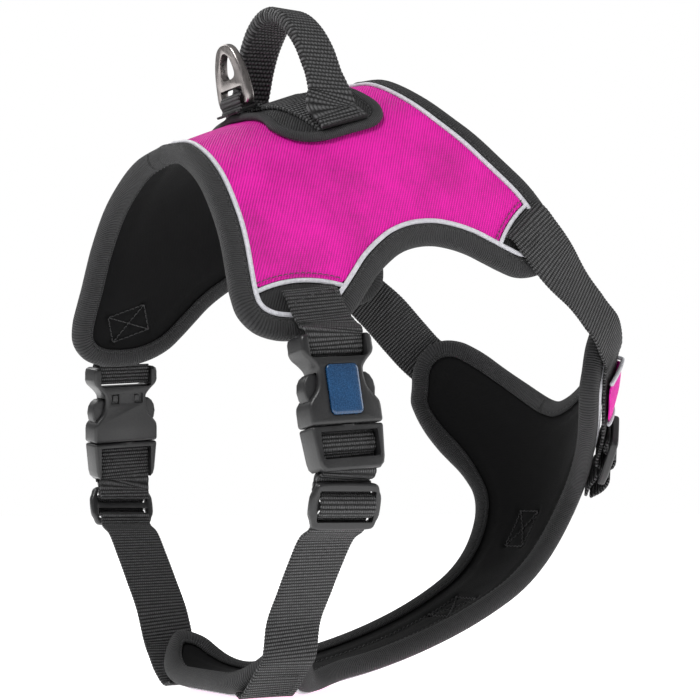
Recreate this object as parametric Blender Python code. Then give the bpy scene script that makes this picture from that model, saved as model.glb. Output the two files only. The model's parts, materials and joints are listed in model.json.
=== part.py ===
"""No-pull dog harness: padded saddle, chest plate, girth buckles, handle and leash rings.

Frame: +Y is the dog's forward direction, +X its right-hand side, +Z up.  The origin is on the
underside of the saddle, on its ridge line.  Lengths below are millimetres until MM is applied.
"""
import bisect
import math

import bmesh
import bpy
from mathutils import Matrix, Vector
from mathutils.geometry import delaunay_2d_cdt

MM = 0.001
GAP = 0.3                       # clearance between touching solids
TWIST_LIMIT = 0.002             # a face bent more than this is split into triangles

# ---- driving dimensions -------------------------------------------------------------------
WEB_WIDTH = 25.0                # webbing of the girth and shoulder straps
WEB_THICK = 1.4
PAD_LOW, PAD_HIGH = -2.2, 1.7   # foam pad and lining, heights across the middle surface
BINDING_LOW = -3.8              # inner face of the stretch binding
BINDING_WALL = 0.9
COVER_LOW, COVER_HIGH = 2.5, 3.3    # cover fabric on the outer face
BINDING_FLANGE = 8.0            # how far the stretch binding reaches in from the edge
PIPING_IN, PIPING_OUT = 10.1, 8.3   # reflective piping, distances in from the edge
PIPING_TOP = 4.1
COVER_INSET = 10.4
STRAP_MID = PIPING_TOP + 1.2 + WEB_THICK / 2    # webbing passes over the piping
TUNNEL_RISE = STRAP_MID + WEB_THICK / 2 + 2.2 - COVER_LOW   # of the cover band over a strap

RIDGE_RISE = math.atan2(0.371, 0.928)
SADDLE_BASE = Vector((0, -62, -21.2))       # rear end of the ridge, middle surface
SADDLE_TAPER = 0.0009           # the saddle narrows forward, per millimetre
SADDLE_WIDEST_AT = -15.0
# half cross-section of the saddle, square to its ridge: sideways, down
SADDLE_PROFILE = [(0, 0), (22, 3.2), (44, 15), (60, 32.5), (70, 51), (77.5, 68), (82, 86),
                  (83, 104), (82, 122)]
# right half of the saddle's cutting pattern: along the ridge, across it
SADDLE_HALF = [(1, 0), (-3, 26), (-9, 50), (-19, 80), (-29, 104), (-30, 114), (-25, 123), (-14, 129),
               (0, 132), (14, 130.5), (27, 124.5), (38, 118.5), (49, 114.5), (61, 112.5), (75, 115.5),
               (88, 123.5), (100, 134.5), (110, 142), (120, 144.5), (131, 143), (137.5, 137), (139.5, 128),
               (138.5, 118), (136, 107), (131.5, 94), (126, 78), (120.5, 62), (117, 45), (116, 28), (116, 0)]
# centre line of the chest plate, forward and up, from its top edge to its end under the belly
CHEST_CENTRE = [(165, -98), (162, -114), (157, -132), (151, -150), (146, -168), (138.5, -184),
                (128, -199), (115, -211), (98, -221), (78, -230), (55, -238), (30, -244.5), (5, -248.5),
                (-16, -249), (-30, -248.5), (-40, -245), (-47, -238)]
CHEST_RADIUS = 80.0
TAIL_START, TAIL_FULL = 228.0, 252.0        # where the cross-section turns into the belly lobes'
TAIL_FLAT, TAIL_RADIUS = 18.0, 32.0
TAIL_ANGLE = math.radians(46)
# right half of the chest plate's cutting pattern: down the centre line, across it
CHEST_HALF = [(24, 0), (20, 14), (10, 34), (0, 52), (-5, 66), (-3, 78), (5, 85), (14, 87), (24, 86),
              (34, 84.5), (43, 79), (51, 70), (57, 60), (64, 50), (76, 40), (90, 34.5), (110, 31),
              (140, 29), (180, 28), (215, 28), (238, 29), (249, 34), (257, 44), (264, 53), (273, 56),
              (282, 53), (288, 42), (290, 24), (290, 0)]

# cover cuts: two ends of each cut line in the pattern, its bow towards the strap end
SADDLE_CUTS = {"rear": ((24, 121), (-30, 108.5), -6.5), "front": ((143, 113), (98, 133), -5.0)}
CHEST_CUT_TIP = ((44, 88), (-8, 42), 2.0)
CHEST_CUT_BAND = ((52, 72), (18, 24), 2.0)
CHEST_CUT_FRONT = ((72, 70), (72, -70), 0.0)    # top edge of the main cover
CHEST_CUT_TAIL = ((294, 25), (244, 28), 8.0)
TRIM_HALF = 0.9                 # half width of a transverse piping
TRIM_CLEAR = 1.8                # from a cut line to the cover on each side
TRIM_END_GAP = 2.6              # from a trim's ends to the edge piping

PATCH_HALF = [(41, 0), (41.5, 23), (38.5, 34), (39.5, 44), (44, 50), (53, 53.5), (68, 54.5), (80, 55),
              (87, 52), (91, 45), (92, 30), (92, 0)]
PATCH_LOW, PATCH_HIGH = 4.0, 5.4
PATCH_ROLL_TOP = 6.6
FOOT_S, FOOT_END = 66.0, 50.0   # the handle's webbing on the patch
FOOT_LOW = PATCH_HIGH + GAP
FOOT_HIGH = FOOT_LOW + 2.0

# handle arch, sideways and up, above its pivot line
HANDLE_PIVOT = Vector((0, 3, 12.5))
HANDLE_ARCH = [(39.5, 3.5), (38.4, 6.5), (36.8, 10), (34.8, 14), (31.5, 20), (26.5, 30), (19, 39.5),
               (9.5, 46.5), (0, 49)]
HANDLE_TOP_SHIFT = -4.0         # the top leans back
HANDLE_WIDTH, HANDLE_GRIP_WIDTH = 19.0, 17.0
HANDLE_THICK, HANDLE_GRIP_THICK = 3.0, 7.0

# leash rings: half outline of the plate around its bar at the origin, sideways and up
RING_THICK = 4.0
RING_BAR = Vector((0, -22.5, 7.0))
RING_LEAN = math.radians(14)
RING_HALF = [(0, -2), (9, -2), (12.2, -1.2), (13.4, 2), (13, 7), (11.6, 14), (9.2, 20), (5.6, 24.8),
             (0, 26.6)]
RING_EYE_HALF = [(0, 10.6), (4.6, 11.2), (6, 13.4), (5, 17.6), (3.2, 20.8), (0, 22.4)]
RING_SLOT = (9.4, 1.9, 6.6)     # half width, bottom, top
RING_LOOP_WIDTH = 17.0
RING_LOOP_THICK = 1.0
RING_LOOP_REACH = 6.0
FRONT_RING_W = 44.0             # along the chest's centre line
FRONT_RING_HEIGHT = 8.4
FRONT_RING_HANG = math.radians(80)

# girth buckles: centre between top and bottom, right-hand side
BUCKLE_CENTRE = Vector((98.7, -31, -131.7))
BUCKLE_TILT, BUCKLE_LEAN = math.radians(7.6), math.radians(4.6)     # outwards, forwards
HOUSING_TOP, SEAM, PLUG_BOTTOM = 27.0, -9.0, -27.0
BUCKLE_WIDTH, BUCKLE_THICK = 33.0, 12.4
HOUSING_SLOT = 13.2             # half width of the webbing's slot
PRONG_ROOT = SEAM - 0.6
PLUG_LIP_LOW = 2.2              # inner face of the plug's bottom cross bar
GIRTH_SLIDER = Vector((101, -29.3, -171.9))
GIRTH_SLIDER_TILT = math.radians(14)
GIRTH_SLIDER_SIZE = (32.0, 18.5)
GIRTH_ON_LOBE = [(275, 33), (276, 41), (276.5, 49), (277, 56)]
GIRTH_RUN = [(60, -28, -219), (69, -28.5, -207), (78.5, -29, -195), (88, -29.3, -184.5)]
CHEST_SLIDER_SIZE = (32.0, 24.0)
SLIDER_THICK = 3.4
# on the lobe: along, across, and lift over the straps' usual height
ANCHOR_ON_LOBE = [(2.4, 116.4, -1.2), (1.2, 121, 0), (0, 126, 2.0), (-1, 129.5, 5.4)]
SHOULDER_ON_LOBE = [(122.4, 122.4), (125.5, 131), (129.5, 141)]
SHOULDER_RUN = [(76.5, 106.5, -74), (75.8, 118, -85), (74.6, 126.8, -93.5)]
SHOULDER_ON_PLATE = [(10, 74.5), (16, 70.6), (31, 60.5), (41, 52.5)]
SHOULDER_ACROSS = Vector((0.34, -0.85, -0.38))    # width direction between saddle and chest plate
CHEST_SLIDER_AT = (50.5, 44.0)
CHEST_SLIDER_LIFT = 4.8         # above the middle of the strap under it

OUTLINE_STEP = 9.0
SADDLE_GRID = (34.0, 8.0)
CHEST_GRID = (14.0, 8.0)
BAND_GRID = (5.5, 5.5)

MATERIALS = {
    "cover_fabric": ((0.78, 0.02, 0.42, 1), 0.75, 0.0),
    "black_fabric": ((0.03, 0.03, 0.032, 1), 0.85, 0.0),
    "lining": ((0.02, 0.02, 0.022, 1), 0.9, 0.0),
    "binding": ((0.05, 0.05, 0.052, 1), 0.8, 0.0),
    "piping": ((0.7, 0.7, 0.74, 1), 0.45, 0.0),
    "webbing": ((0.035, 0.035, 0.037, 1), 0.8, 0.0),
    "plastic": ((0.045, 0.045, 0.047, 1), 0.4, 0.0),
    "badge": ((0.01, 0.06, 0.16, 1), 0.1, 0.0),
    "ring_metal": ((0.32, 0.28, 0.27, 1), 0.3, 1.0),
}


# ---- curves and surfaces ------------------------------------------------------------------
def catmull(points, pieces, closed=False):
    """Points along a Catmull-Rom curve through the given ones."""
    count = len(points)
    if closed:
        pick = [points[i % count] for i in range(-1, count + 2)]
    else:
        pick = [points[0] * 2 - points[1], *points, points[-1] * 2 - points[-2]]
    out = []
    for a, b, c, d in zip(pick, pick[1:], pick[2:], pick[3:]):
        for k in range(pieces):
            t = k / pieces
            out.append(0.5 * (2 * b + (c - a) * t + (2 * a - 5 * b + 4 * c - d) * t ** 2
                              + (3 * b - a - 3 * c + d) * t ** 3))
    if not closed:
        out.append(points[-1].copy())
    return out


class Route:
    """A smooth curve read by distance along it, straight past its ends."""

    def __init__(self, points, pieces=24):
        self.points = catmull([Vector(p) for p in points], pieces)
        self.length = [0.0]
        for a, b in zip(self.points, self.points[1:]):
            self.length.append(self.length[-1] + (b - a).length)

    def at(self, distance):
        """Point and unit tangent at a distance."""
        i = bisect.bisect_right(self.length, distance) - 1
        i = min(max(i, 0), len(self.points) - 2)
        step = self.points[i + 1] - self.points[i]
        along = (distance - self.length[i]) / step.length
        return self.points[i] + step * along, step.normalized()


SADDLE_ROUTE = Route(SADDLE_PROFILE)
CHEST_ROUTE = Route(CHEST_CENTRE)
RIDGE = Vector((0, math.cos(RIDGE_RISE), math.sin(RIDGE_RISE)))
RIDGE_UP = Vector((0, -math.sin(RIDGE_RISE), math.cos(RIDGE_RISE)))
SIDE = Vector((1, 0, 0))


def saddle(s, t, h):
    """A point of the saddle: s along the ridge, t across it, h above the middle surface."""
    sign = 1 if t >= 0 else -1
    (x, drop), (dx, ddrop) = SADDLE_ROUTE.at(abs(t))
    x *= 1 - SADDLE_TAPER * (s - SADDLE_WIDEST_AT)
    normal = SIDE * sign * ddrop + RIDGE_UP * dx
    return SADDLE_BASE + RIDGE * s + SIDE * sign * x - RIDGE_UP * drop + normal * h


def chest_section(w, a):
    """Sideways distance, rise and slope of the chest plate's cross-section at |a|."""
    angle = a / CHEST_RADIUS
    wide = (CHEST_RADIUS * math.sin(angle), CHEST_RADIUS * (1 - math.cos(angle)), angle)
    bend = min(max(a - TAIL_FLAT, 0) / TAIL_RADIUS, TAIL_ANGLE)
    rest = max(a - TAIL_FLAT - TAIL_RADIUS * TAIL_ANGLE, 0)
    tail = (min(a, TAIL_FLAT) + TAIL_RADIUS * math.sin(bend) + rest * math.cos(bend),
            TAIL_RADIUS * (1 - math.cos(bend)) + rest * math.sin(bend), bend)
    mix = min(max((w - TAIL_START) / (TAIL_FULL - TAIL_START), 0), 1)
    mix = mix * mix * (3 - 2 * mix)
    return [p + (q - p) * mix for p, q in zip(wide, tail)]


def chest(w, a, h):
    """A point of the chest plate: w down the centre line, a across it, h outwards."""
    sign = 1 if a >= 0 else -1
    (y, z), (dy, dz) = CHEST_ROUTE.at(w)
    out = Vector((0, -dz, dy))
    x, rise, slope = chest_section(w, abs(a))
    normal = out * math.cos(slope) + SIDE * sign * math.sin(slope)
    return Vector((0, y, z)) + SIDE * sign * x - out * rise + normal * h


# ---- outlines in a cutting pattern ----------------------------------------------------------
def resample(points, step, closed=True):
    """The same curve with evenly spaced points."""
    ring = points + [points[0]] if closed else points
    length = [0.0]
    for a, b in zip(ring, ring[1:]):
        length.append(length[-1] + (b - a).length)
    count = max(round(length[-1] / step), 2)
    out = []
    for k in range(count if closed else count + 1):
        want = length[-1] * k / count
        i = min(bisect.bisect_right(length, want) - 1, len(ring) - 2)
        share = (want - length[i]) / max(length[i + 1] - length[i], 1e-9)
        out.append(ring[i].lerp(ring[i + 1], share))
    return out


def outline(half, step=OUTLINE_STEP):
    """A closed, counter-clockwise outline from its right half."""
    right = [Vector(p) for p in half]
    left = [Vector((p.x, -p.y)) for p in reversed(right) if p.y > 0]
    loop = resample(catmull(right + left, 12, closed=True), step)
    area = sum(a.x * b.y - b.x * a.y for a, b in zip(loop, loop[1:] + loop[:1]))
    return loop if area > 0 else loop[::-1]


def inset(loop, distance):
    """The outline moved inwards."""
    out = []
    for i, p in enumerate(loop):
        along = (loop[(i + 1) % len(loop)] - loop[i - 1]).normalized()
        out.append(p + Vector((-along.y, along.x)) * distance)
    return out


def mirrored(cut):
    """A cut line on the other side of the pattern, running the other way."""
    (s0, t0), (s1, t1), bow = cut
    return (s1, -t1), (s0, -t0), bow


def cut_side(cut, p):
    """Distance past a bowed cut line, and the share of its length."""
    start, end, bow = Vector(cut[0]), Vector(cut[1]), cut[2]
    along = (end - start).normalized()
    rel = p - start
    share = rel.dot(along) / (end - start).length
    bulge = 4 * bow * max(share * (1 - share), 0)
    return rel.dot(Vector((along.y, -along.x))) - bulge, share


def cut_point(cut, share, shift):
    """A point of a bowed cut line, shifted past it."""
    start, end, bow = Vector(cut[0]), Vector(cut[1]), cut[2]
    along = (end - start).normalized()
    across = Vector((along.y, -along.x))
    return start.lerp(end, share) + across * (4 * bow * max(share * (1 - share), 0) + shift)


def crossings(loop, cut, shift):
    """Where an outline crosses a shifted cut line: next point, whether it goes past, share."""
    found = []
    for i, b in enumerate(loop):
        (da, share_a), (db, share_b) = cut_side(cut, loop[i - 1]), cut_side(cut, b)
        if (da > shift) != (db > shift):
            share = share_a + (share_b - share_a) * (da - shift) / (da - db)
            if -0.2 < share < 1.2:
                found.append((i, db > shift, share))
    return found


def split(loop, cut, shift, keep_past):
    """The part of an outline on one side of a cut line, closed along the line."""
    found = crossings(loop, cut, shift)
    entry = next(c for c in found if c[1] == keep_past)
    leave = next(c for c in found if c[1] != keep_past)
    count = len(loop)
    kept = [loop[(entry[0] + k) % count] for k in range((leave[0] - entry[0]) % count)]
    steps = 5
    seam = [cut_point(cut, leave[2] + (entry[2] - leave[2]) * k / steps, shift)
            for k in range(steps + 1)]
    while (kept[-1] - seam[0]).length < 1:
        kept.pop()
    while (kept[0] - seam[-1]).length < 1:
        kept.pop(0)
    return kept + seam


# ---- solids ----------------------------------------------------------------------------------
def material(slot):
    """The Principled material of a slot, made once."""
    if slot in bpy.data.materials:
        return bpy.data.materials[slot]
    made = bpy.data.materials.new(slot)
    made.use_nodes = True
    shader = made.node_tree.nodes["Principled BSDF"]
    colour, roughness, metallic = MATERIALS[slot]
    shader.inputs["Base Color"].default_value = colour
    shader.inputs["Roughness"].default_value = roughness
    shader.inputs["Metallic"].default_value = metallic
    return made


def add_object(name, mesh, slot, parent=None):
    """An object in the scene, with its material and parent."""
    body = bpy.data.objects.new(name, mesh)
    bpy.context.scene.collection.objects.link(body)
    if slot:
        mesh.materials.clear()
        mesh.materials.append(material(slot))
    body.parent = parent
    return body


def is_twisted(face):
    """Whether any corner of a face is off its plane."""
    middle = face.calc_center_median()
    return any(abs((v.co - middle).dot(face.normal)) > TWIST_LIMIT * MM for v in face.verts)


def solid(name, points, faces, slot, parent=None):
    """A closed body from points in millimetres and faces."""
    work = bmesh.new()
    made = [work.verts.new(Vector(p) * MM) for p in points]
    for face in faces:
        work.faces.new([made[i] for i in face])
    bmesh.ops.recalc_face_normals(work, faces=work.faces)
    bmesh.ops.triangulate(work, faces=[f for f in work.faces if is_twisted(f)])
    if work.calc_volume(signed=True) < 0:
        bmesh.ops.reverse_faces(work, faces=work.faces)
    mesh = bpy.data.meshes.new(name)
    work.to_mesh(mesh)
    work.free()
    return add_object(name, mesh, slot, parent)


def is_inside(p, loop):
    """Whether a pattern point is inside a closed outline."""
    inside = False
    for a, b in zip(loop, loop[1:] + loop[:1]):
        if (a.y > p.y) != (b.y > p.y) and p.x < a.x + (b.x - a.x) * (p.y - a.y) / (b.y - a.y):
            inside = not inside
    return inside


def grid_points(loop, grid):
    """Grid points well inside an outline; the grid is centred on the pattern's mirror line."""
    spans = [[math.floor(pick(p[k] for p in loop) / grid[k]) for pick in (min, max)] for k in (0, 1)]
    near = min(grid) * 0.55
    out = []
    for i in range(spans[0][0], spans[0][1] + 2):
        for j in range(spans[1][0], spans[1][1] + 2):
            p = Vector((i * grid[0], j * grid[1]))
            if is_inside(p, loop) and min((p - q).length for q in loop) > near:
                out.append(p)
    return out


def slab(name, surface, loop, low, high, slot, grid):
    """A sheet of even thickness over an outline of the pattern."""
    count = len(loop)
    edges = [(i, (i + 1) % count) for i in range(count)]
    flat, _, triangles, *_ = delaunay_2d_cdt(loop + grid_points(loop, grid), edges, [], 1, 1e-6)
    total = len(flat)
    points = [surface(p.x, p.y, h) for h in (low, high) for p in flat]
    faces = [tuple(t) for t in triangles] + [tuple(i + total for i in reversed(t)) for t in triangles]
    used = {}
    for a, b, c in triangles:
        for pair in ((a, b), (b, c), (c, a)):
            used[frozenset(pair)] = used.get(frozenset(pair), []) + [pair]
    for pairs in used.values():
        if len(pairs) == 1:
            a, b = pairs[0]
            faces.append((b, a, a + total, b + total))
    return solid(name, points, faces, slot)


def edge_band(name, surface, loop, section, slot):
    """A closed band that follows an outline; its section is (distance in, height)."""
    rings = [inset(loop, d) for d, _ in section]
    size, count = len(section), len(loop)
    points = [surface(*rings[k][i], section[k][1]) for i in range(count) for k in range(size)]
    faces = []
    for i in range(count):
        here, there = i * size, ((i + 1) % count) * size
        for k in range(size):
            n = (k + 1) % size
            faces.append((here + k, here + n, there + n, there + k))
    return solid(name, points, faces, slot)


def sweep(name, sections, slot, parent=None):
    """A closed body through a row of equal sections, capped at both ends."""
    size = len(sections[0])
    points = [p for section in sections for p in section]
    faces = [tuple(range(size))[::-1], tuple(range(len(points) - size, len(points)))]
    for i in range(len(sections) - 1):
        for k in range(size):
            n = (k + 1) % size
            a = i * size
            faces.append((a + k, a + n, a + size + n, a + size + k))
    return solid(name, points, faces, slot, parent)


def surface_strip(name, surface, path, half_width, low, high, slot):
    """A strip that lies on a surface along a path of the pattern."""
    sections = []
    for i, p in enumerate(path):
        along = (path[min(i + 1, len(path) - 1)] - path[max(i - 1, 0)]).normalized()
        across = Vector((-along.y, along.x)) * half_width
        corners = ((p - across, low), (p + across, low), (p + across, high), (p - across, high))
        sections.append([surface(q.x, q.y, h) for q, h in corners])
    return sweep(name, sections, slot)


def ribbon(name, points, across, slot, width=WEB_WIDTH, thick=WEB_THICK):
    """A flat strap through 3-D points; across gives its width direction at each."""
    sections = []
    for i, p in enumerate(points):
        along = (points[min(i + 1, len(points) - 1)] - points[max(i - 1, 0)]).normalized()
        side = across[i] - along * across[i].dot(along)
        side.normalize()
        up = side.cross(along) * thick / 2
        side *= width / 2
        sections.append([p - side - up, p + side - up, p + side + up, p - side + up])
    return sweep(name, sections, slot)


def plate(name, loop, low, high, slot, parent=None, axes=(0, 1, 2)):
    """A flat outline extruded between two heights; axes place outline x, y and height."""
    points = []
    for h in (low, high):
        for p in loop:
            point = [0, 0, 0]
            for axis, value in zip(axes, (p[0], p[1], h)):
                point[axis] = value
            points.append(point)
    count = len(loop)
    faces = [tuple(range(count))[::-1], tuple(range(count, 2 * count))]
    faces += [(i, (i + 1) % count, count + (i + 1) % count, count + i) for i in range(count)]
    return solid(name, points, faces, slot, parent)


def cut_out(body, cutters):
    """Subtract hidden cutters from a body."""
    for cutter in cutters:
        cutter.hide_render = True
        cutter.display_type = "WIRE"
        change = body.modifiers.new("cut", "BOOLEAN")
        change.operation = "DIFFERENCE"
        change.object = cutter


def box_loop(half_width, low, high):
    """A rectangle, centred sideways."""
    return [(-half_width, low), (half_width, low), (half_width, high), (-half_width, high)]


def both_halves(half):
    """A closed loop from the right half of a symmetric outline."""
    return list(half) + [(-x, y) for x, y in reversed(half) if x > 0]


def empty(name, matrix):
    """A frame for parts to hang on."""
    made = bpy.data.objects.new(name, None)
    bpy.context.scene.collection.objects.link(made)
    made.matrix_world = matrix
    return made


# ---- padded panels ------------------------------------------------------------------------------
def padded_edge(prefix, surface, loop, grid):
    """Foam pad with lining, stretch binding and reflective piping of one padded panel."""
    slab(prefix + "_lining", surface, inset(loop, 2.4), PAD_LOW, PAD_HIGH, "lining", grid)
    low, high, wall = BINDING_LOW, COVER_HIGH, BINDING_WALL
    binding = [(0, low + wall), (0, high - wall), (1.2, high), (BINDING_FLANGE, high),
               (BINDING_FLANGE, COVER_LOW), (1.9, COVER_LOW), (1.9, low + wall),
               (BINDING_FLANGE, low + wall), (BINDING_FLANGE, low), (1.2, low)]
    edge_band(prefix + "_binding", surface, loop, binding, "binding")
    piping = [(PIPING_OUT, COVER_LOW), (PIPING_OUT, PIPING_TOP), (PIPING_IN, PIPING_TOP),
              (PIPING_IN, COVER_LOW)]
    edge_band(prefix + "_piping", surface, loop, piping, "piping")


def trim_shares(loop, cut):
    """Where a cut line enters and leaves an outline, as shares of its length."""
    inside = [k / 200 for k in range(-20, 221) if is_inside(cut_point(cut, k / 200, 0), loop)]
    return inside[0], inside[-1]


def trim(name, surface, loop, cut):
    """Reflective piping along a cut line of the cover."""
    first, last = trim_shares(loop, cut)
    pull = TRIM_END_GAP / (Vector(cut[1]) - Vector(cut[0])).length
    steps = 6
    shares = [first + pull + (last - first - 2 * pull) * k / steps for k in range(steps + 1)]
    path = [cut_point(cut, share, 0) for share in shares]
    surface_strip(name, surface, path, TRIM_HALF, COVER_LOW, PIPING_TOP - 0.4, "piping")


def cover_with_ends(prefix, surface, cover, cuts, grid):
    """Cover fabric whose ends past each cut are black pieces, with a trim at each cut."""
    for name, cut in cuts.items():
        tip = split(cover, cut, TRIM_CLEAR, True)
        slab(f"{prefix}_tip_{name}", surface, tip, COVER_LOW, COVER_HIGH, "black_fabric", grid)
        trim(f"{prefix}_trim_{name}", surface, cover, cut)
        cover = split(cover, cut, -TRIM_CLEAR, False)
    return cover


def make_saddle():
    """The back panel: pad, cover, four strap ends and the edge trim."""
    loop = outline(SADDLE_HALF)
    padded_edge("saddle", saddle, loop, SADDLE_GRID)
    cuts = {}
    for end, cut in SADDLE_CUTS.items():
        cuts[end + "_right"] = cut
        cuts[end + "_left"] = mirrored(cut)
    cover = cover_with_ends("saddle", saddle, inset(loop, COVER_INSET), cuts, SADDLE_GRID)
    slab("saddle_cover", saddle, cover, COVER_LOW, COVER_HIGH, "cover_fabric", SADDLE_GRID)


def strap_distance(w, a):
    """Distance in the pattern from the middle of the shoulder strap."""
    path = [Vector(p) for p in (*SHOULDER_ON_PLATE, CHEST_SLIDER_AT)]
    here = Vector((w, abs(a)))
    out = []
    for p, q in zip(path, path[1:]):
        along = q - p
        share = min(max((here - p).dot(along) / along.length_squared, 0), 1)
        out.append((here - p - along * share).length)
    return min(out)


def chest_tunnel(w, a, h):
    """The chest surface, raised over the shoulder strap."""
    past = strap_distance(w, a) - WEB_WIDTH / 2 - 1.5
    share = min(max(past / 4.0, 0), 1)
    return chest(w, a, h + TUNNEL_RISE * (1 - share * share * (3 - 2 * share)))


def make_chest():
    """The chest plate: pad, covers, strap tunnels, belly lobes and the edge trim."""
    loop = outline(CHEST_HALF)
    padded_edge("chest", chest, loop, CHEST_GRID)
    tail = {"tail_right": CHEST_CUT_TAIL, "tail_left": mirrored(CHEST_CUT_TAIL)}
    cover = cover_with_ends("chest", chest, inset(loop, COVER_INSET), tail, CHEST_GRID)
    main = split(cover, CHEST_CUT_FRONT, -TRIM_CLEAR, False)
    slab("chest_cover", chest, main, COVER_LOW, COVER_HIGH, "cover_fabric", CHEST_GRID)
    trim("chest_trim_front", chest, cover, CHEST_CUT_FRONT)
    upper = split(cover, CHEST_CUT_FRONT, TRIM_CLEAR, True)
    for side, tip_cut, band_cut in (("right", CHEST_CUT_TIP, CHEST_CUT_BAND),
                                    ("left", mirrored(CHEST_CUT_TIP), mirrored(CHEST_CUT_BAND))):
        lobe = split(upper, band_cut, TRIM_CLEAR, True)
        trim("chest_trim_lower_" + side, chest_tunnel, upper, band_cut)
        upper = split(upper, band_cut, -TRIM_CLEAR, False)
        tip = split(lobe, tip_cut, TRIM_CLEAR, True)
        slab("chest_tip_" + side, chest, tip, COVER_LOW, COVER_HIGH, "black_fabric", CHEST_GRID)
        trim("chest_trim_upper_" + side, chest_tunnel, lobe, tip_cut)
        band = split(lobe, tip_cut, -TRIM_CLEAR, False)
        slab("chest_band_" + side, chest_tunnel, resample(band, 5), COVER_LOW, COVER_HIGH,
             "cover_fabric", BAND_GRID)
    slab("chest_front", chest, upper, COVER_LOW, COVER_HIGH, "black_fabric", CHEST_GRID)


# ---- handle and rings ---------------------------------------------------------------------------
def make_patch():
    """The bound patch on the ridge and the webbing sewn onto it."""
    loop = outline(PATCH_HALF, 7.0)
    slab("handle_patch", saddle, inset(loop, 3.2), PATCH_LOW, PATCH_HIGH, "black_fabric", SADDLE_GRID)
    roll = [(0, PATCH_LOW + 0.6), (0, PATCH_ROLL_TOP - 0.8), (0.8, PATCH_ROLL_TOP),
            (2.9, PATCH_ROLL_TOP), (2.9, PATCH_LOW)]
    edge_band("patch_binding", saddle, loop, roll, "binding")
    path = [Vector((FOOT_S, FOOT_END * k / 8)) for k in range(-8, 9)]
    surface_strip("handle_base", saddle, path, WEB_WIDTH / 2, FOOT_LOW, FOOT_HIGH, "webbing")


def handle_width(height):
    """Half width of the handle at a height from its pivot; round below it."""
    if height < 0:
        radius = HANDLE_WIDTH / 2
        return math.sqrt(max(radius ** 2 - height ** 2, 9.0))
    share = min(height / 30, 1)
    return (HANDLE_WIDTH + (HANDLE_GRIP_WIDTH - HANDLE_WIDTH) * share) / 2


def make_handle():
    """The webbing arch, thicker where it is folded into a grip."""
    right = [Vector((x, 0, z)) for x, z in HANDLE_ARCH]
    arch = right + [Vector((-p.x, 0, p.z)) for p in reversed(right[:-1])]
    top = HANDLE_ARCH[-1][1]
    sections = []
    for i, p in enumerate(arch):
        along = (arch[min(i + 1, len(arch) - 1)] - arch[max(i - 1, 0)]).normalized()
        share = min(max((p.z - 12) / 20, 0), 1)
        thick = HANDLE_THICK + (HANDLE_GRIP_THICK - HANDLE_THICK) * share
        out = Vector((along.z, 0, -along.x)) * thick / 2
        half = Vector((0, handle_width(p.z - HANDLE_PIVOT.z), 0))
        lean = Vector((0, HANDLE_TOP_SHIFT * max(p.z / top, 0) ** 2, 0))
        centre = p + lean - Vector((0, 0, HANDLE_PIVOT.z))
        sections.append([centre - half * 0.8 - out, centre - half, centre - half * 0.8 + out,
                         centre + half * 0.8 + out, centre + half, centre + half * 0.8 - out])
    body = sweep("handle", sections, "webbing")
    body.location = HANDLE_PIVOT * MM


def make_ring(name, frame):
    """A die-cast leash ring with its bar at the frame's origin."""
    shape = catmull([Vector(p) for p in both_halves(RING_HALF)], 2, closed=True)
    eye = catmull([Vector(p) for p in both_halves(RING_EYE_HALF)], 2, closed=True)
    body = plate(name, shape, -RING_THICK / 2, RING_THICK / 2, "ring_metal", frame, (0, 2, 1))
    half, low, high = RING_SLOT
    cutters = [plate(name + "_eye_cut", eye, -RING_THICK, RING_THICK, None, frame, (0, 2, 1)),
               plate(name + "_slot_cut", box_loop(half, low, high), -RING_THICK, RING_THICK, None,
                     frame, (0, 2, 1))]
    cut_out(body, cutters)
    return body


def ring_loop(name, frame):
    """A webbing loop round a ring's bar, its legs lying flat behind and before it."""
    radius = RING_THICK / 2 + 1.7
    centre, along = frame.translation, frame.to_3x3() @ Vector((0, 1, 0))
    up = frame.to_3x3() @ Vector((0, 0, 1))
    side = frame.to_3x3() @ SIDE
    path = [(-RING_LOOP_REACH, -radius), (-radius - 1.2, -radius)]
    path += [(radius * math.cos(math.radians(d)), radius * math.sin(math.radians(d)))
             for d in (205, 180, 155, 130, 105, 75, 50, 25, 0, -25)]
    path += [(radius + 1.2, -radius), (RING_LOOP_REACH, -radius)]
    points = [centre / MM + along * y + up * z for y, z in path]
    ribbon(name, points, [side] * len(points), "webbing", RING_LOOP_WIDTH, RING_LOOP_THICK)


def frame_matrix(origin, side, out):
    """A frame at a point in millimetres: x along side, z along out."""
    up = out.normalized()
    x = (side - up * side.dot(up)).normalized()
    y = up.cross(x)
    turn = Matrix((x, y, up)).transposed().to_4x4()
    return Matrix.Translation(Vector(origin) * MM) @ turn


def make_rings():
    """The leash ring on the back and the one on the chest."""
    lean = Matrix.Rotation(RING_LEAN, 4, "X")
    back = Matrix.Translation(RING_BAR * MM)
    make_ring("leash_ring", empty("leash_ring_frame", back @ lean))
    ring_loop("ring_loop", back @ Matrix.Rotation(RIDGE_RISE, 4, "X"))
    foot = chest(FRONT_RING_W, 0, 0)
    out = chest(FRONT_RING_W, 0, 1) - foot
    frame = frame_matrix(foot + out * FRONT_RING_HEIGHT, SIDE, out)
    hang = Matrix.Rotation(-FRONT_RING_HANG, 4, "X")
    make_ring("front_ring", empty("front_ring_frame", frame @ hang))
    ring_loop("front_ring_loop", frame)


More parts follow.
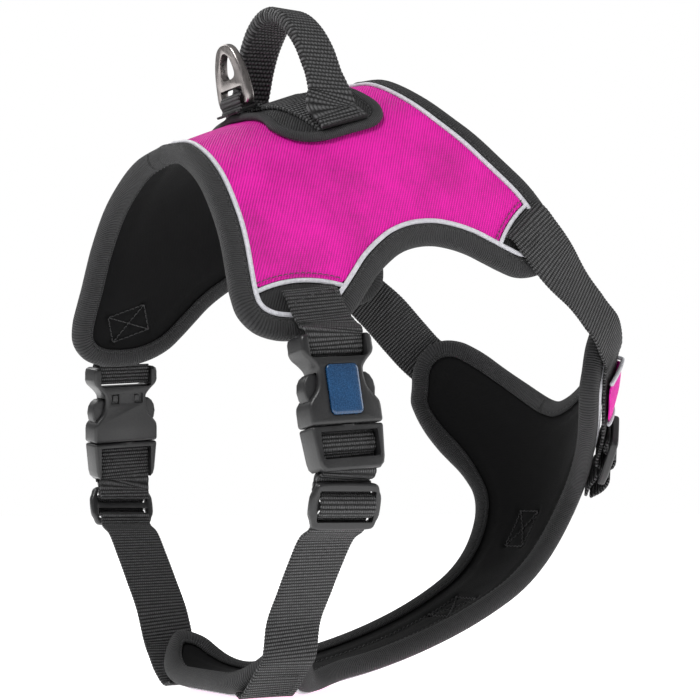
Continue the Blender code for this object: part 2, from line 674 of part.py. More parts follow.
# ---- buckles and sliders --------------------------------------------------------------------------
def buckle_frame(side):
    """Frame of a girth buckle: local x outwards, z up along the strap."""
    lean = Matrix.Rotation(BUCKLE_LEAN, 4, "X")
    turn = Matrix.Rotation(-BUCKLE_TILT, 4, "Y")
    half_turn = Matrix.Rotation(0 if side > 0 else math.pi, 4, "Z")
    place = Vector((BUCKLE_CENTRE.x * side, BUCKLE_CENTRE.y, BUCKLE_CENTRE.z))
    return Matrix.Translation(place * MM) @ lean @ half_turn @ turn


def make_housing(tag, frame):
    """The buckle's female half, with its webbing slot, socket and side windows."""
    half = BUCKLE_WIDTH / 2
    shape = [(half, SEAM), (half, SEAM + 7.5), (half - 2.4, SEAM + 10.5), (half - 4.9, SEAM + 14),
             (half - 5.9, SEAM + 18.5), (half - 5.9, SEAM + 22), (half - 3.4, SEAM + 25),
             (half, SEAM + 28.5), (half, HOUSING_TOP - 2), (half - 1.4, HOUSING_TOP)]
    thick = BUCKLE_THICK / 2
    body = plate("buckle_housing" + tag, both_halves(shape), -thick, thick, "plastic", frame, (1, 2, 0))
    socket = plate("socket_cut" + tag, box_loop(half - 2.2, SEAM - 1, SEAM + 21.5), -3.8, 3.8, None,
                   frame, (1, 2, 0))
    slot = plate("slot_cut" + tag, box_loop(HOUSING_SLOT, HOUSING_TOP - 9.2, HOUSING_TOP - 6.2), -9, 9,
                 None, frame, (1, 2, 0))
    window = plate("window_cut" + tag, box_loop(half + 3, SEAM + 7, SEAM + 20.5), -3.8, 3.8, None,
                   frame, (1, 2, 0))
    recess = plate("recess_cut" + tag, box_loop(HOUSING_SLOT, HOUSING_TOP - 9.6, HOUSING_TOP + 1), 2.4, 9,
                   None, frame, (1, 2, 0))
    back = plate("back_cut" + tag, box_loop(HOUSING_SLOT, HOUSING_TOP - 9.6, HOUSING_TOP + 1), -9, -2.4,
                 None, frame, (1, 2, 0))
    cut_out(body, [socket, slot, window, recess, back])


def rounded_loop(half_y, low, high, radius, steps=3):
    """A rectangle with round corners."""
    out = []
    corners = ((half_y - radius, low + radius, -90), (half_y - radius, high - radius, 0),
               (radius - half_y, high - radius, 90), (radius - half_y, low + radius, 180))
    for y, z, start in corners:
        for k in range(steps + 1):
            angle = math.radians(start + 90 * k / steps)
            out.append((y + radius * math.cos(angle), z + radius * math.sin(angle)))
    return out


def make_badge(tag, frame):
    """A plain domed badge on the housing's outer face."""
    base = BUCKLE_THICK / 2 + GAP
    loops = [(0, base), (0, base + 0.5), (1.2, base + 1.0), (3.4, base + 1.3)]
    sections = []
    for inward, height in loops:
        loop = rounded_loop(7.1 - inward, SEAM + 3.8 + inward, SEAM + 23.4 - inward, 3.6 - inward)
        sections.append([Vector((height, y, z)) for y, z in loop])
    sweep("buckle_badge" + tag, sections, "badge", frame)


def make_plug(tag, frame):
    """The buckle's male base with its webbing bar and centre tongue."""
    half = BUCKLE_WIDTH / 2
    top = SEAM - GAP
    shape = [(3, top), (3, top + 13.5), (1.6, top + 15), (-1.6, top + 15), (-3, top + 13.5), (-3, top),
             (-half, top), (1.5 - half, PLUG_BOTTOM + 3.5), (4.4 - half, PLUG_BOTTOM),
             (half - 4.4, PLUG_BOTTOM), (half - 1.5, PLUG_BOTTOM + 3.5), (half, top)]
    body = plate("buckle_plug" + tag, shape, -5.6, 5.6, "plastic", frame, (1, 2, 0))
    inner = half - 3.4
    window = plate("plug_window_cut" + tag, box_loop(inner, PLUG_BOTTOM + 4.6, SEAM - 7.6), -9, 9, None,
                   frame, (1, 2, 0))
    slot = plate("plug_slot_cut" + tag, box_loop(inner, SEAM - 4.8, SEAM - 2.2), -9, 9, None, frame,
                 (1, 2, 0))
    notch = plate("plug_notch_cut" + tag, box_loop(inner, PLUG_BOTTOM - 1, PLUG_BOTTOM + 5), -9,
                  PLUG_LIP_LOW, None, frame, (1, 2, 0))
    cutters = [window, slot, notch]
    for sign in (1, -1):
        low, high = sorted((sign * 1.6, sign * 9))
        cutters.append(plate(f"plug_bar_cut{sign}" + tag, box_loop(inner, SEAM - 8.2, SEAM - 2.2), low,
                             high, None, frame, (1, 2, 0)))
        low, high = sorted((sign * 3.4, sign * 9))
        cutters.append(plate(f"tongue_cut{sign}" + tag, box_loop(8, top, top + 20), low, high, None,
                             frame, (1, 2, 0)))
    cut_out(body, cutters)


def make_prong(name, side, frame):
    """A springy arm of the plug, its origin at the root where it bends."""
    root = 9.0
    shape = [(-1.5, 0.2), (1.5, 0.2), (1.7, 8.2), (4.6, 8.8), (6.8, 10.8), (7.5, 14.2), (6.8, 17.6),
             (4.9, 19.8), (2.4, 20.8), (0.6, 19.8), (-0.7, 15)]
    loop = [(y * side, z) for y, z in shape]
    body = plate(name, loop, -3.3, 3.3, "plastic", frame, (1, 2, 0))
    body.location = Vector((0, root * side, PRONG_ROOT + 0.6)) * MM


def make_slider(name, size, frame):
    """A three-bar slider: local x is its thickness, y its width, z along the strap."""
    width, length = size
    rim = 3.0
    body = plate(name, rounded_loop(width / 2, -length / 2, length / 2, 3.4), -SLIDER_THICK / 2,
                 SLIDER_THICK / 2, "plastic", frame, (1, 2, 0))
    inner = width / 2 - rim
    edge = length / 2 - rim
    cutters = []
    for sign in (1, -1):
        low, high = sorted((sign * 1.3, sign * edge))
        cutters.append(plate(f"{name}_slot{sign}", box_loop(inner, low, high), -9, 9, None, frame,
                             (1, 2, 0)))
    cut_out(body, cutters)


def girth_slider_frame(side):
    """Frame of a girth slider, between the buckle and the belly."""
    turn = Matrix.Rotation(GIRTH_SLIDER_TILT, 4, "Y")
    half_turn = Matrix.Rotation(0 if side > 0 else math.pi, 4, "Z")
    place = Vector((GIRTH_SLIDER.x * side, GIRTH_SLIDER.y, GIRTH_SLIDER.z))
    return Matrix.Translation(place * MM) @ half_turn @ turn


def chest_slider_frame(side):
    """Frame of a chest slider, on the outer face of the plate."""
    w, a = CHEST_SLIDER_AT
    lift = STRAP_MID + CHEST_SLIDER_LIFT
    origin = chest(w, a * side, lift)
    out = (chest(w, a * side, lift + 1) - origin).normalized()
    up = chest(w - 4, (a + 3.1) * side, lift) - origin
    up = (up - out * up.dot(out)).normalized()
    turn = Matrix((out, up.cross(out), up)).transposed().to_4x4()
    return Matrix.Translation(origin * MM) @ turn


def local_points(frame, path):
    """World points in millimetres for a path of (out, up) pairs in a frame."""
    return [frame @ (Vector((x, 0, z)) * MM) / MM for x, z in path]


def make_anchor(side, tag, frame):
    """Webbing from the saddle's rear lobe round the housing's top bar."""
    lobe = [saddle(s, t * side, STRAP_MID + lift) for s, t, lift in ANCHOR_ON_LOBE]
    bar = HOUSING_TOP - 4.4
    half_turn = [(3.9, bar + 5.4), (3.5, bar - 1.3), (2.9, bar - 2.6), (1.9, bar - 3.0)]
    turn = half_turn + [(-x, z) for x, z in reversed(half_turn)]
    points = lobe + local_points(frame, turn)
    on_lobe = Vector((0, 0.98, 0.18))
    across = [on_lobe] * len(lobe) + [frame.to_3x3() @ Vector((0, side, 0))] * len(turn)
    ribbon("girth_anchor" + tag, points, across, "webbing")


def make_girth_strap(side, tag, buckle, slider):
    """Webbing from the belly lobe through the slider, round the plug's bar and back."""
    lobe = [chest(w, a * side, STRAP_MID) for w, a in GIRTH_ON_LOBE]
    run = [Vector((x * side, y, z)) for x, y, z in GIRTH_RUN]
    half_weave = [(-2.8, 8), (-2.8, 5.2), (1.2, 3.6), (2.8, 1.5)]
    weave = [(-3.6, -10.5)] + [(x, -z) for x, z in half_weave] + half_weave[::-1] + [(-2.9, 10.3)]
    bar = SEAM - 6.2
    half_turn = [(3, bar - 3.1), (2.8, bar + 1.2), (1.9, bar + 2.9)]
    wrap = [(0.9, PLUG_BOTTOM - 1), (1.3, PLUG_BOTTOM + 7)] + half_turn
    wrap += [(-x, z) for x, z in reversed(half_turn)] + [(-3.2, PLUG_BOTTOM + 5), (-3.4, PLUG_BOTTOM - 1)]
    points = lobe + run + local_points(slider, weave) + local_points(buckle, wrap)
    points += local_points(slider, [(-4.9, 8.5), (-4.9, 2.5)])
    across = [Vector((0, 1, 0))] * len(points)
    first = len(lobe + run + weave)
    across[first:first + len(wrap)] = [buckle.to_3x3() @ Vector((0, side, 0))] * len(wrap)
    ribbon("girth_strap" + tag, points, across, "webbing")


def lying_across(surface, path, side, lift):
    """Centre points and width directions of a strap that lies on a surface."""
    points = [surface(s, t * side, lift) for s, t in path]
    across = []
    for i, (s, t) in enumerate(path):
        along = points[min(i + 1, len(points) - 1)] - points[max(i - 1, 0)]
        out = surface(s, t * side, lift + 1) - points[i]
        across.append(along.cross(out).normalized() * side)
    return points, across


def make_shoulder(side, tag):
    """Webbing from the saddle's front lobe, under the band, round the slider's middle bar."""
    points, across = lying_across(saddle, SHOULDER_ON_LOBE, side, STRAP_MID)
    lean = Vector((SHOULDER_ACROSS.x * side, SHOULDER_ACROSS.y, SHOULDER_ACROSS.z))
    points += [Vector((x * side, y, z)) for x, y, z in SHOULDER_RUN]
    across += [lean] * len(SHOULDER_RUN)
    down, turns = lying_across(chest, SHOULDER_ON_PLATE, side, STRAP_MID)
    points += down
    across += turns
    slider = chest_slider_frame(side)
    low = -CHEST_SLIDER_LIFT
    loop = [(low, 6), (low, -2), (low + 1.2, -3.4), (1.6, -3.2), (2.8, -1.6), (2.8, 1.6), (1.6, 3.2),
            (low + 2, 5.2), (low + 2, 11.5)]
    on_plate = slider.to_3x3() @ Vector((0, 1, 0))
    if on_plate.dot(turns[-1]) < 0:
        on_plate.negate()
    points += local_points(slider, loop)
    across += [on_plate] * len(loop)
    ribbon("shoulder_strap" + tag, points, across, "webbing")
    legs = [(low, -20), (low + 0.2, -15.5), (-3, -10.4), (-2.3, -7.7), (2.3, -7.7), (3, -10.4),
            (1.6, -15), (low + 2.2, -20)]
    ribbon("chest_anchor" + tag, local_points(slider, legs), [on_plate] * len(legs), "webbing")


def make_girth():
    """Both girth sides: anchors, buckles, sliders and straps."""
    for side, tag in ((1, "_right"), (-1, "_left")):
        frame = buckle_frame(side)
        hang = empty("buckle_frame" + tag, frame)
        make_housing(tag, hang)
        make_badge(tag, hang)
        make_plug(tag, hang)
        make_prong("prong_front" + tag, side, hang)
        make_prong("prong_rear" + tag, -side, hang)
        make_anchor(side, tag, frame)
        slider = girth_slider_frame(side)
        make_slider("girth_slider" + tag, GIRTH_SLIDER_SIZE, empty("girth_slider_frame" + tag, slider))
        make_girth_strap(side, tag, frame, slider)


def make_shoulders():
    """Both shoulder straps and their sliders."""
    for side, tag in ((1, "_right"), (-1, "_left")):
        make_shoulder(side, tag)
        frame = empty("chest_slider_frame" + tag, chest_slider_frame(side))
        make_slider("chest_slider" + tag, CHEST_SLIDER_SIZE, frame)


def clear_scene():
    """Start from an empty scene."""
    for item in list(bpy.data.objects):
        bpy.data.objects.remove(item, do_unlink=True)


clear_scene()
make_saddle()
make_chest()
make_patch()
make_handle()
make_rings()
make_girth()
make_shoulders()
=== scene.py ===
"""The looks of the no-pull dog harness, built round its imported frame.  Lengths are millimetres until MM."""
import json
import math

import bmesh
import bpy
import numpy as np
from mathutils import Matrix, Vector, noise
from mathutils.geometry import delaunay_2d_cdt

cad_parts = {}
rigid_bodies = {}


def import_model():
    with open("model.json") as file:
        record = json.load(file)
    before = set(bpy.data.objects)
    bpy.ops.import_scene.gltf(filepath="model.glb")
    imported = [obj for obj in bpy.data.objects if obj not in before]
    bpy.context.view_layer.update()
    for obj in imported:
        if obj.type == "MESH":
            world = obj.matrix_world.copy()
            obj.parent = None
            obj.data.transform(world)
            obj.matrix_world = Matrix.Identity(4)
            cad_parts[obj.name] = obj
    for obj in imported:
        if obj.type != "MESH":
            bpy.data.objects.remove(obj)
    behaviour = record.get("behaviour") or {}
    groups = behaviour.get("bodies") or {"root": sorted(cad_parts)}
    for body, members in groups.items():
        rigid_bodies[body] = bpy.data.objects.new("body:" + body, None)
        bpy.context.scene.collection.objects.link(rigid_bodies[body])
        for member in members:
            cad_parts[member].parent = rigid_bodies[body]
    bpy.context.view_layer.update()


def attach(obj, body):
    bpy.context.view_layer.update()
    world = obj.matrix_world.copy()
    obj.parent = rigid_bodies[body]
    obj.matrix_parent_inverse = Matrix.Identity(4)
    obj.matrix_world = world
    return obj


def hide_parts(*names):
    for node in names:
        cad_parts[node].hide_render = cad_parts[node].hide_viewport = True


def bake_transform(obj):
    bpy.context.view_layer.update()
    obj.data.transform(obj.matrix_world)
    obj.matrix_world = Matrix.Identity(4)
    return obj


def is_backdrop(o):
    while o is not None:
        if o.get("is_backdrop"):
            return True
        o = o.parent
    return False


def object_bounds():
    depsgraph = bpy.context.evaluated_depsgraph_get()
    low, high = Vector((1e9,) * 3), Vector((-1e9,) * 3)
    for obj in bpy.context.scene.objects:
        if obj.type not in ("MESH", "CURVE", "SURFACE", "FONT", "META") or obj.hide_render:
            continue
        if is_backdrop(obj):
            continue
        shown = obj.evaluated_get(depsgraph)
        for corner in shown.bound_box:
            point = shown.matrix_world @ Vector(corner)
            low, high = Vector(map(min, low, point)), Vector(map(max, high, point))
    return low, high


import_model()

MM = 0.001

# ---- sizes, as in the CAD source ---------------------------------------------
WEB_WIDTH, WEB_THICK = 25.0, 1.4
COVER_LOW, COVER_HIGH = 2.5, 3.3
PIPING_AT, PIPING_HEIGHT, PIPING_RADIUS = 9.2, 3.25, 1.05
COVER_INSET = 10.4
STRAP_MID = 6.0
TUNNEL_RISE = STRAP_MID + WEB_THICK / 2 + 2.2 - COVER_LOW
RIDGE_RISE = math.atan2(0.371, 0.928)
RIDGE = np.array((0, math.cos(RIDGE_RISE), math.sin(RIDGE_RISE)))
RIDGE_UP = np.array((0, -math.sin(RIDGE_RISE), math.cos(RIDGE_RISE)))
SIDE = np.array((1.0, 0, 0))
SADDLE_BASE = np.array((0, -62, -21.2))
SADDLE_TAPER, SADDLE_WIDEST_AT = 0.0009, -15.0
SADDLE_PROFILE = [(0, 0), (22, 3.2), (44, 15), (60, 32.5), (70, 51), (77.5, 68), (82, 86),
                  (83, 104), (82, 122)]
SADDLE_HALF = [(1, 0), (-3, 26), (-9, 50), (-19, 80), (-29, 104), (-30, 114), (-25, 123),
               (-14, 129),
               (0, 132), (14, 130.5), (27, 124.5), (38, 118.5), (49, 114.5), (61, 112.5), (75,
                                                                                           115.5),
               (88, 123.5), (100, 134.5), (110, 142), (120, 144.5), (131, 143), (137.5,
                                                                                 137), (139.5, 128),
               (138.5, 118), (136, 107), (131.5, 94), (126, 78), (120.5, 62), (117, 45), (116,
                                                                                          28), (116, 0)]
CHEST_CENTRE = [(165, -98), (162, -114), (157, -132), (151, -150), (146, -168), (138.5, -184),
                (128, -199), (115, -211), (98, -221), (78, -230), (55, -238), (30, -244.5), (5,
                                                                                             -248.5),
                (-16, -249), (-30, -248.5), (-40, -245), (-47, -238)]
CHEST_RADIUS = 80.0
TAIL_START, TAIL_FULL = 228.0, 252.0
TAIL_FLAT, TAIL_RADIUS = 18.0, 32.0
TAIL_ANGLE = math.radians(46)
CHEST_HALF = [(24, 0), (20, 14), (10, 34), (0, 52), (-5, 66), (-3, 78), (5, 85), (14, 87), (24, 86),
              (34, 84.5), (43, 79), (51, 70), (57, 60), (64, 50), (76, 40), (90, 34.5), (110, 31),
              (140, 29), (180, 28), (215, 28), (238, 29), (249, 34), (257, 44), (264, 53), (273,
                                                                                            56),
              (282, 53), (288, 42), (290, 24), (290, 0)]
SADDLE_CUTS = {"rear": ((24, 121), (-30, 108.5), -6.5), "front": ((143, 113), (98, 133), -5.0)}
CHEST_CUT_TIP = ((44, 88), (-8, 42), 2.0)
CHEST_CUT_BAND = ((52, 72), (18, 24), 2.0)
CHEST_CUT_FRONT = ((72, 70), (72, -70), 0.0)
CHEST_CUT_TAIL = ((294, 25), (244, 28), 8.0)
TRIM_CLEAR = 1.3
TRIM_HEIGHT, TRIM_RADIUS = PIPING_HEIGHT - 0.15, 0.95
TUNNEL_EDGE = 2.6               # over this width the band comes down beside the strap
SLIDER_WIDTH, GIRTH_SLIDER_LENGTH, CHEST_SLIDER_LENGTH = 32.0, 18.5, 24.0
PATCH_HALF = [(41, 0), (41.5, 23), (38.5, 34), (39.5, 44), (44, 50), (53, 53.5), (68, 54.5),
              (80, 55),
              (87, 52), (91, 45), (92, 30), (92, 0)]
HANDLE_PIVOT = np.array((0, 3, 12.5))
HANDLE_ARCH = [(39.5, 3.5), (38.4, 6.5), (36.8, 10), (34.8, 14), (31.5, 20), (26.5, 30), (19, 39.5),
               (9.5, 46.5), (0, 49)]
RING_THICK = 4.0
RING_BAR = np.array((0, -22.5, 7.0))
RING_LEAN = math.radians(14)
RING_HALF = [(0, -2), (9, -2), (12.2, -1.2), (13.4, 2), (13, 7), (11.6, 14), (9.2, 20), (5.6, 24.8),
             (0, 26.6)]
RING_EYE_HALF = [(0, 10.6), (4.6, 11.2), (6, 13.4), (5, 17.6), (3.2, 20.8), (0, 22.4)]
FRONT_RING_W, FRONT_RING_HEIGHT, FRONT_RING_HANG = 44.0, 8.4, math.radians(80)
BUCKLE_CENTRE = Vector((98.7, -31, -131.7))
BUCKLE_TILT, BUCKLE_LEAN = math.radians(7.6), math.radians(4.6)
HOUSING_TOP, SEAM, PLUG_BOTTOM = 27.0, -9.0, -27.0
BUCKLE_HALF, BUCKLE_THICK = 16.5, 12.4
HOUSING_SLOT = 13.2
GIRTH_SLIDER = Vector((101, -29.3, -171.9))
GIRTH_SLIDER_TILT = math.radians(14)
GIRTH_ON_LOBE = [(275, 33), (276, 41), (276.5, 49), (277, 56)]
ANCHOR_ON_LOBE = [(2.4, 116.4, -1.2), (1.2, 121, 0), (0, 126, 2.0), (-1, 129.5, 5.4)]
SHOULDER_ON_LOBE = [(122.4, 122.4), (125.5, 131), (129.5, 141)]
SHOULDER_ACROSS = np.array((0.34, -0.85, -0.38))
CHEST_SLIDER_AT, CHEST_SLIDER_LIFT = (50.5, 44.0), 4.8
GIRTH_RUN = [(60, -28, -219), (69, -28.5, -207), (78.5, -29, -195), (88, -29.3, -184.5)]
SHOULDER_RUN = [(76.5, 106.5, -74), (75.8, 118, -85), (74.6, 126.8, -93.5)]
SHOULDER_ON_PLATE = [(10, 74.5), (16, 70.6), (31, 60.5), (41, 52.5)]

# ---- detail of the fabrics ---------------------------------------------------
TWILL_PITCH = 1.15
STRAP_RIB, HANDLE_RIB, BINDING_RIB = 1.6, 2.1, 1.0
STATIONS_PER_RIB = 6
PLATE_SINK = 1.3                # the shoulder strap beds into the plate under the band
TWIST_REACH = 16.0              # a strap turns its width over this length each way
PANEL_STEP = 2.4
BEAD_SIDES, STITCH_SIDES = 10, 5
WORLD_LIGHT, WORLD_SHOWN = 0.27, 1.0    # surroundings as a lamp, and as seen


# ---- curves and surfaces -----------------------------------------------------
def catmull(points, pieces, closed=False):
    """Points along a Catmull-Rom curve through the given ones."""
    p = np.asarray(points, float)
    if closed:
        p = np.vstack([p[-1], p, p[0], p[1]])
    else:
        p = np.vstack([2 * p[0] - p[1], p, 2 * p[-1] - p[-2]])
    a, b, c, d = p[:-3, None], p[1:-2, None], p[2:-1, None], p[3:, None]
    t = (np.arange(pieces) / pieces)[None, :, None]
    out = 0.5 * (2 * b + (c - a) * t + (2 * a - 5 * b + 4 * c - d) * t ** 2
                 + (3 * b - a - 3 * c + d) * t ** 3)
    out = out.reshape(-1, p.shape[1])
    return out if closed else np.vstack([out, p[-2]])


def running_length(points):
    """Distance along a polyline at each of its points."""
    return np.concatenate([[0], np.cumsum(np.linalg.norm(np.diff(points, axis=0), axis=1))])


def along_line(points, distances):
    """Points of a polyline at distances along it."""
    length = running_length(points)
    return np.stack([np.interp(distances, length, points[:, k]) for k in range(points.shape[1])], 1)


def resample(points, step, closed=True):
    """The same curve with evenly spaced points."""
    ring = np.vstack([points, points[:1]]) if closed else points
    total = running_length(ring)[-1]
    count = max(round(total / step), 2)
    wanted = total * np.arange(count if closed else count + 1) / count
    return along_line(ring, wanted)


class Route:
    """A smooth curve read by distance along it, straight past its ends."""

    def __init__(self, points, start_tangent=None):
        self.points = catmull(points, 24)
        self.length = running_length(self.points)
        self.tangents = np.gradient(self.points, self.length, axis=0)
        if start_tangent is not None:
            self.tangents[0] = start_tangent
        self.tangents /= np.linalg.norm(self.tangents, axis=1)[:, None]

    def at(self, distance):
        """Points and unit tangents at distances."""
        tangent = np.stack([np.interp(distance, self.length, self.tangents[:, k]) for k in (0, 1)],
                           1)
        tangent /= np.linalg.norm(tangent, axis=1)[:, None]
        point = along_line(self.points, distance)
        past = np.clip(distance - self.length[-1], 0, None) + np.clip(distance, None, 0)
        return point + tangent * past[:, None], tangent


SADDLE_ROUTE = Route(SADDLE_PROFILE, (1, 0))
CHEST_ROUTE = Route(CHEST_CENTRE)


def smooth_step(x):
    """0 to 1, level at both ends."""
    x = np.clip(x, 0, 1)
    return x * x * (3 - 2 * x)


def flat_arrays(*values):
    """The values as equal 1-D arrays."""
    return [v.ravel() for v in np.broadcast_arrays(*[np.atleast_1d(np.asarray(v,
                                                                              float)) for v in values])]


def saddle(s, t, h):
    """Points of the saddle: s along the ridge, t across it, h above the middle surface."""
    s, t, h = flat_arrays(s, t, h)
    sign = np.where(t >= 0, 1.0, -1.0)
    p, d = SADDLE_ROUTE.at(np.abs(t))
    x = p[:, 0] * (1 - SADDLE_TAPER * (s - SADDLE_WIDEST_AT))
    normal = np.outer(sign * d[:, 1], SIDE) + np.outer(d[:, 0], RIDGE_UP)
    return (SADDLE_BASE + np.outer(s, RIDGE) + np.outer(sign * x, SIDE) - np.outer(p[:, 1],
                                                                                   RIDGE_UP)
            + normal * h[:, None])


def chest(w, a, h):
    """Points of the chest plate: w down the centre line, a across it, h outwards."""
    w, a, h = flat_arrays(w, a, h)
    sign, wide = np.where(a >= 0, 1.0, -1.0), np.abs(a)
    p, d = CHEST_ROUTE.at(w)
    angle = wide / CHEST_RADIUS
    round_part = np.stack([CHEST_RADIUS * np.sin(angle), CHEST_RADIUS * (1 - np.cos(angle)), angle])
    bend = np.clip((wide - TAIL_FLAT) / TAIL_RADIUS, 0, TAIL_ANGLE)
    rest = np.clip(wide - TAIL_FLAT - TAIL_RADIUS * TAIL_ANGLE, 0, None)
    tail = np.stack([np.minimum(wide, TAIL_FLAT) + TAIL_RADIUS * np.sin(bend) + rest * np.cos(bend),
                     TAIL_RADIUS * (1 - np.cos(bend)) + rest * np.sin(bend), bend])
    mix = smooth_step((w - TAIL_START) / (TAIL_FULL - TAIL_START))
    x, rise, slope = round_part + (tail - round_part) * mix
    out = np.stack([np.zeros_like(w), -d[:, 1], d[:, 0]], 1)
    normal = out * np.cos(slope)[:, None] + np.outer(sign * np.sin(slope), SIDE)
    base = np.stack([sign * x, p[:, 0], p[:, 1]], 1)
    return base - out * rise[:, None] + normal * h[:, None]


def line_distance(points, path):
    """Distance of pattern points from a polyline."""
    best = np.full(len(points), 1e9)
    for p, q in zip(path[:-1], path[1:]):
        along = q - p
        share = np.clip((points - p) @ along / max(along @ along, 1e-9), 0, 1)
        best = np.minimum(best, np.linalg.norm(points - p - share[:, None] * along, axis=1))
    return best


def chest_tunnel(w, a, h):
    """The chest surface, raised over the shoulder strap."""
    w, a, h = flat_arrays(w, a, h)
    path = np.array([*SHOULDER_ON_PLATE, CHEST_SLIDER_AT], float)
    past = line_distance(np.stack([w, np.abs(a)], 1), path) - WEB_WIDTH / 2 - 0.3
    return chest(w, a, h + (TUNNEL_RISE - PLATE_SINK) * (1 - smooth_step(past / TUNNEL_EDGE)))


# ---- outlines in a cutting pattern -------------------------------------------
def outline(half, step=9.0):
    """A closed, counter-clockwise outline from its right half."""
    right = np.array(half, float)
    left = (right[::-1] * (1, -1))[1:-1] if right[-1, 1] == 0 else right[::-1] * (1, -1)
    loop = resample(catmull(np.vstack([right, left]), 12, closed=True), step)
    x, y = loop[:, 0], loop[:, 1]
    area = (x * np.roll(y, -1) - np.roll(x, -1) * y).sum()
    return loop if area > 0 else loop[::-1]


def inset(loop, distance):
    """The outline moved inwards."""
    along = np.roll(loop, -1, 0) - np.roll(loop, 1, 0)
    along /= np.linalg.norm(along, axis=1)[:, None]
    return loop + np.stack([-along[:, 1], along[:, 0]], 1) * distance


def fine_ring(loop, distance, pieces=6):
    """A smooth outline inside another; rings of one loop have matching points."""
    return catmull(inset(loop, distance), pieces, closed=True)


def mirrored(cut):
    """A cut line on the other side of the pattern, running the other way."""
    (s0, t0), (s1, t1), bow = cut
    return (s1, -t1), (s0, -t0), bow


def cut_frame(cut):
    """Start, length, direction and across direction of a cut line."""
    start, end = np.array(cut[0], float), np.array(cut[1], float)
    along = (end - start) / np.linalg.norm(end - start)
    return start, np.linalg.norm(end - start), along, np.array((along[1], -along[0]))


def bowed(cut, share):
    """How far a cut line bows at a share of its length."""
    return 4 * cut[2] * np.maximum(share * (1 - share), 0)


def cut_side(cut, points):
    """Distance past a bowed cut line, and the share of its length."""
    start, length, along, across = cut_frame(cut)
    share = (points - start) @ along / length
    return (points - start) @ across - bowed(cut, share), share


def cut_points(cut, shares, shift=0.0):
    """Points of a bowed cut line, shifted past it."""
    start, length, along, across = cut_frame(cut)
    shares = np.asarray(shares, float)
    return start + np.outer(shares * length, along) + np.outer(bowed(cut, shares) + shift, across)


def split(loop, cut, shift, keep_past):
    """The part of an outline on one side of a cut line, closed along the line."""
    past, share = cut_side(cut, loop)
    found = {}
    for i in range(len(loop)):
        a, b = past[i - 1], past[i]
        if (a > shift) != (b > shift):
            where = share[i - 1] + (share[i] - share[i - 1]) * (a - shift) / (a - b)
            if -0.2 < where < 1.2:
                found.setdefault((b > shift) == keep_past, (i, where))
    (entry, first), (leave, last) = found[True], found[False]
    kept = [loop[(entry + k) % len(loop)] for k in range((leave - entry) % len(loop))]
    seam = cut_points(cut, np.linspace(last, first, 26), shift)
    while np.linalg.norm(kept[-1] - seam[0]) < 0.7:
        kept.pop()
    while np.linalg.norm(kept[0] - seam[-1]) < 0.7:
        kept.pop(0)
    return np.vstack([kept, seam])


def is_inside(points, loop):
    """Which pattern points are inside a closed outline."""
    inside = np.zeros(len(points), bool)
    for a, b in zip(loop, np.roll(loop, -1, 0)):
        crosses = (a[1] > points[:, 1]) != (b[1] > points[:, 1])
        at = a[0] + (b[0] - a[0]) * (points[:, 1] - a[1]) / (b[1] - a[1] + 1e-12)
        inside ^= crosses & (points[:, 0] < at)
    return inside


def trim_path(loop, cut, reach):
    """A cut line's points within an outline, running a little past it at both ends."""
    shares = np.linspace(-0.15, 1.15, 261)
    shares = shares[is_inside(cut_points(cut, shares), loop)]
    more = reach / cut_frame(cut)[1]
    return cut_points(cut, np.linspace(shares[0] - more, shares[-1] + more, 60))


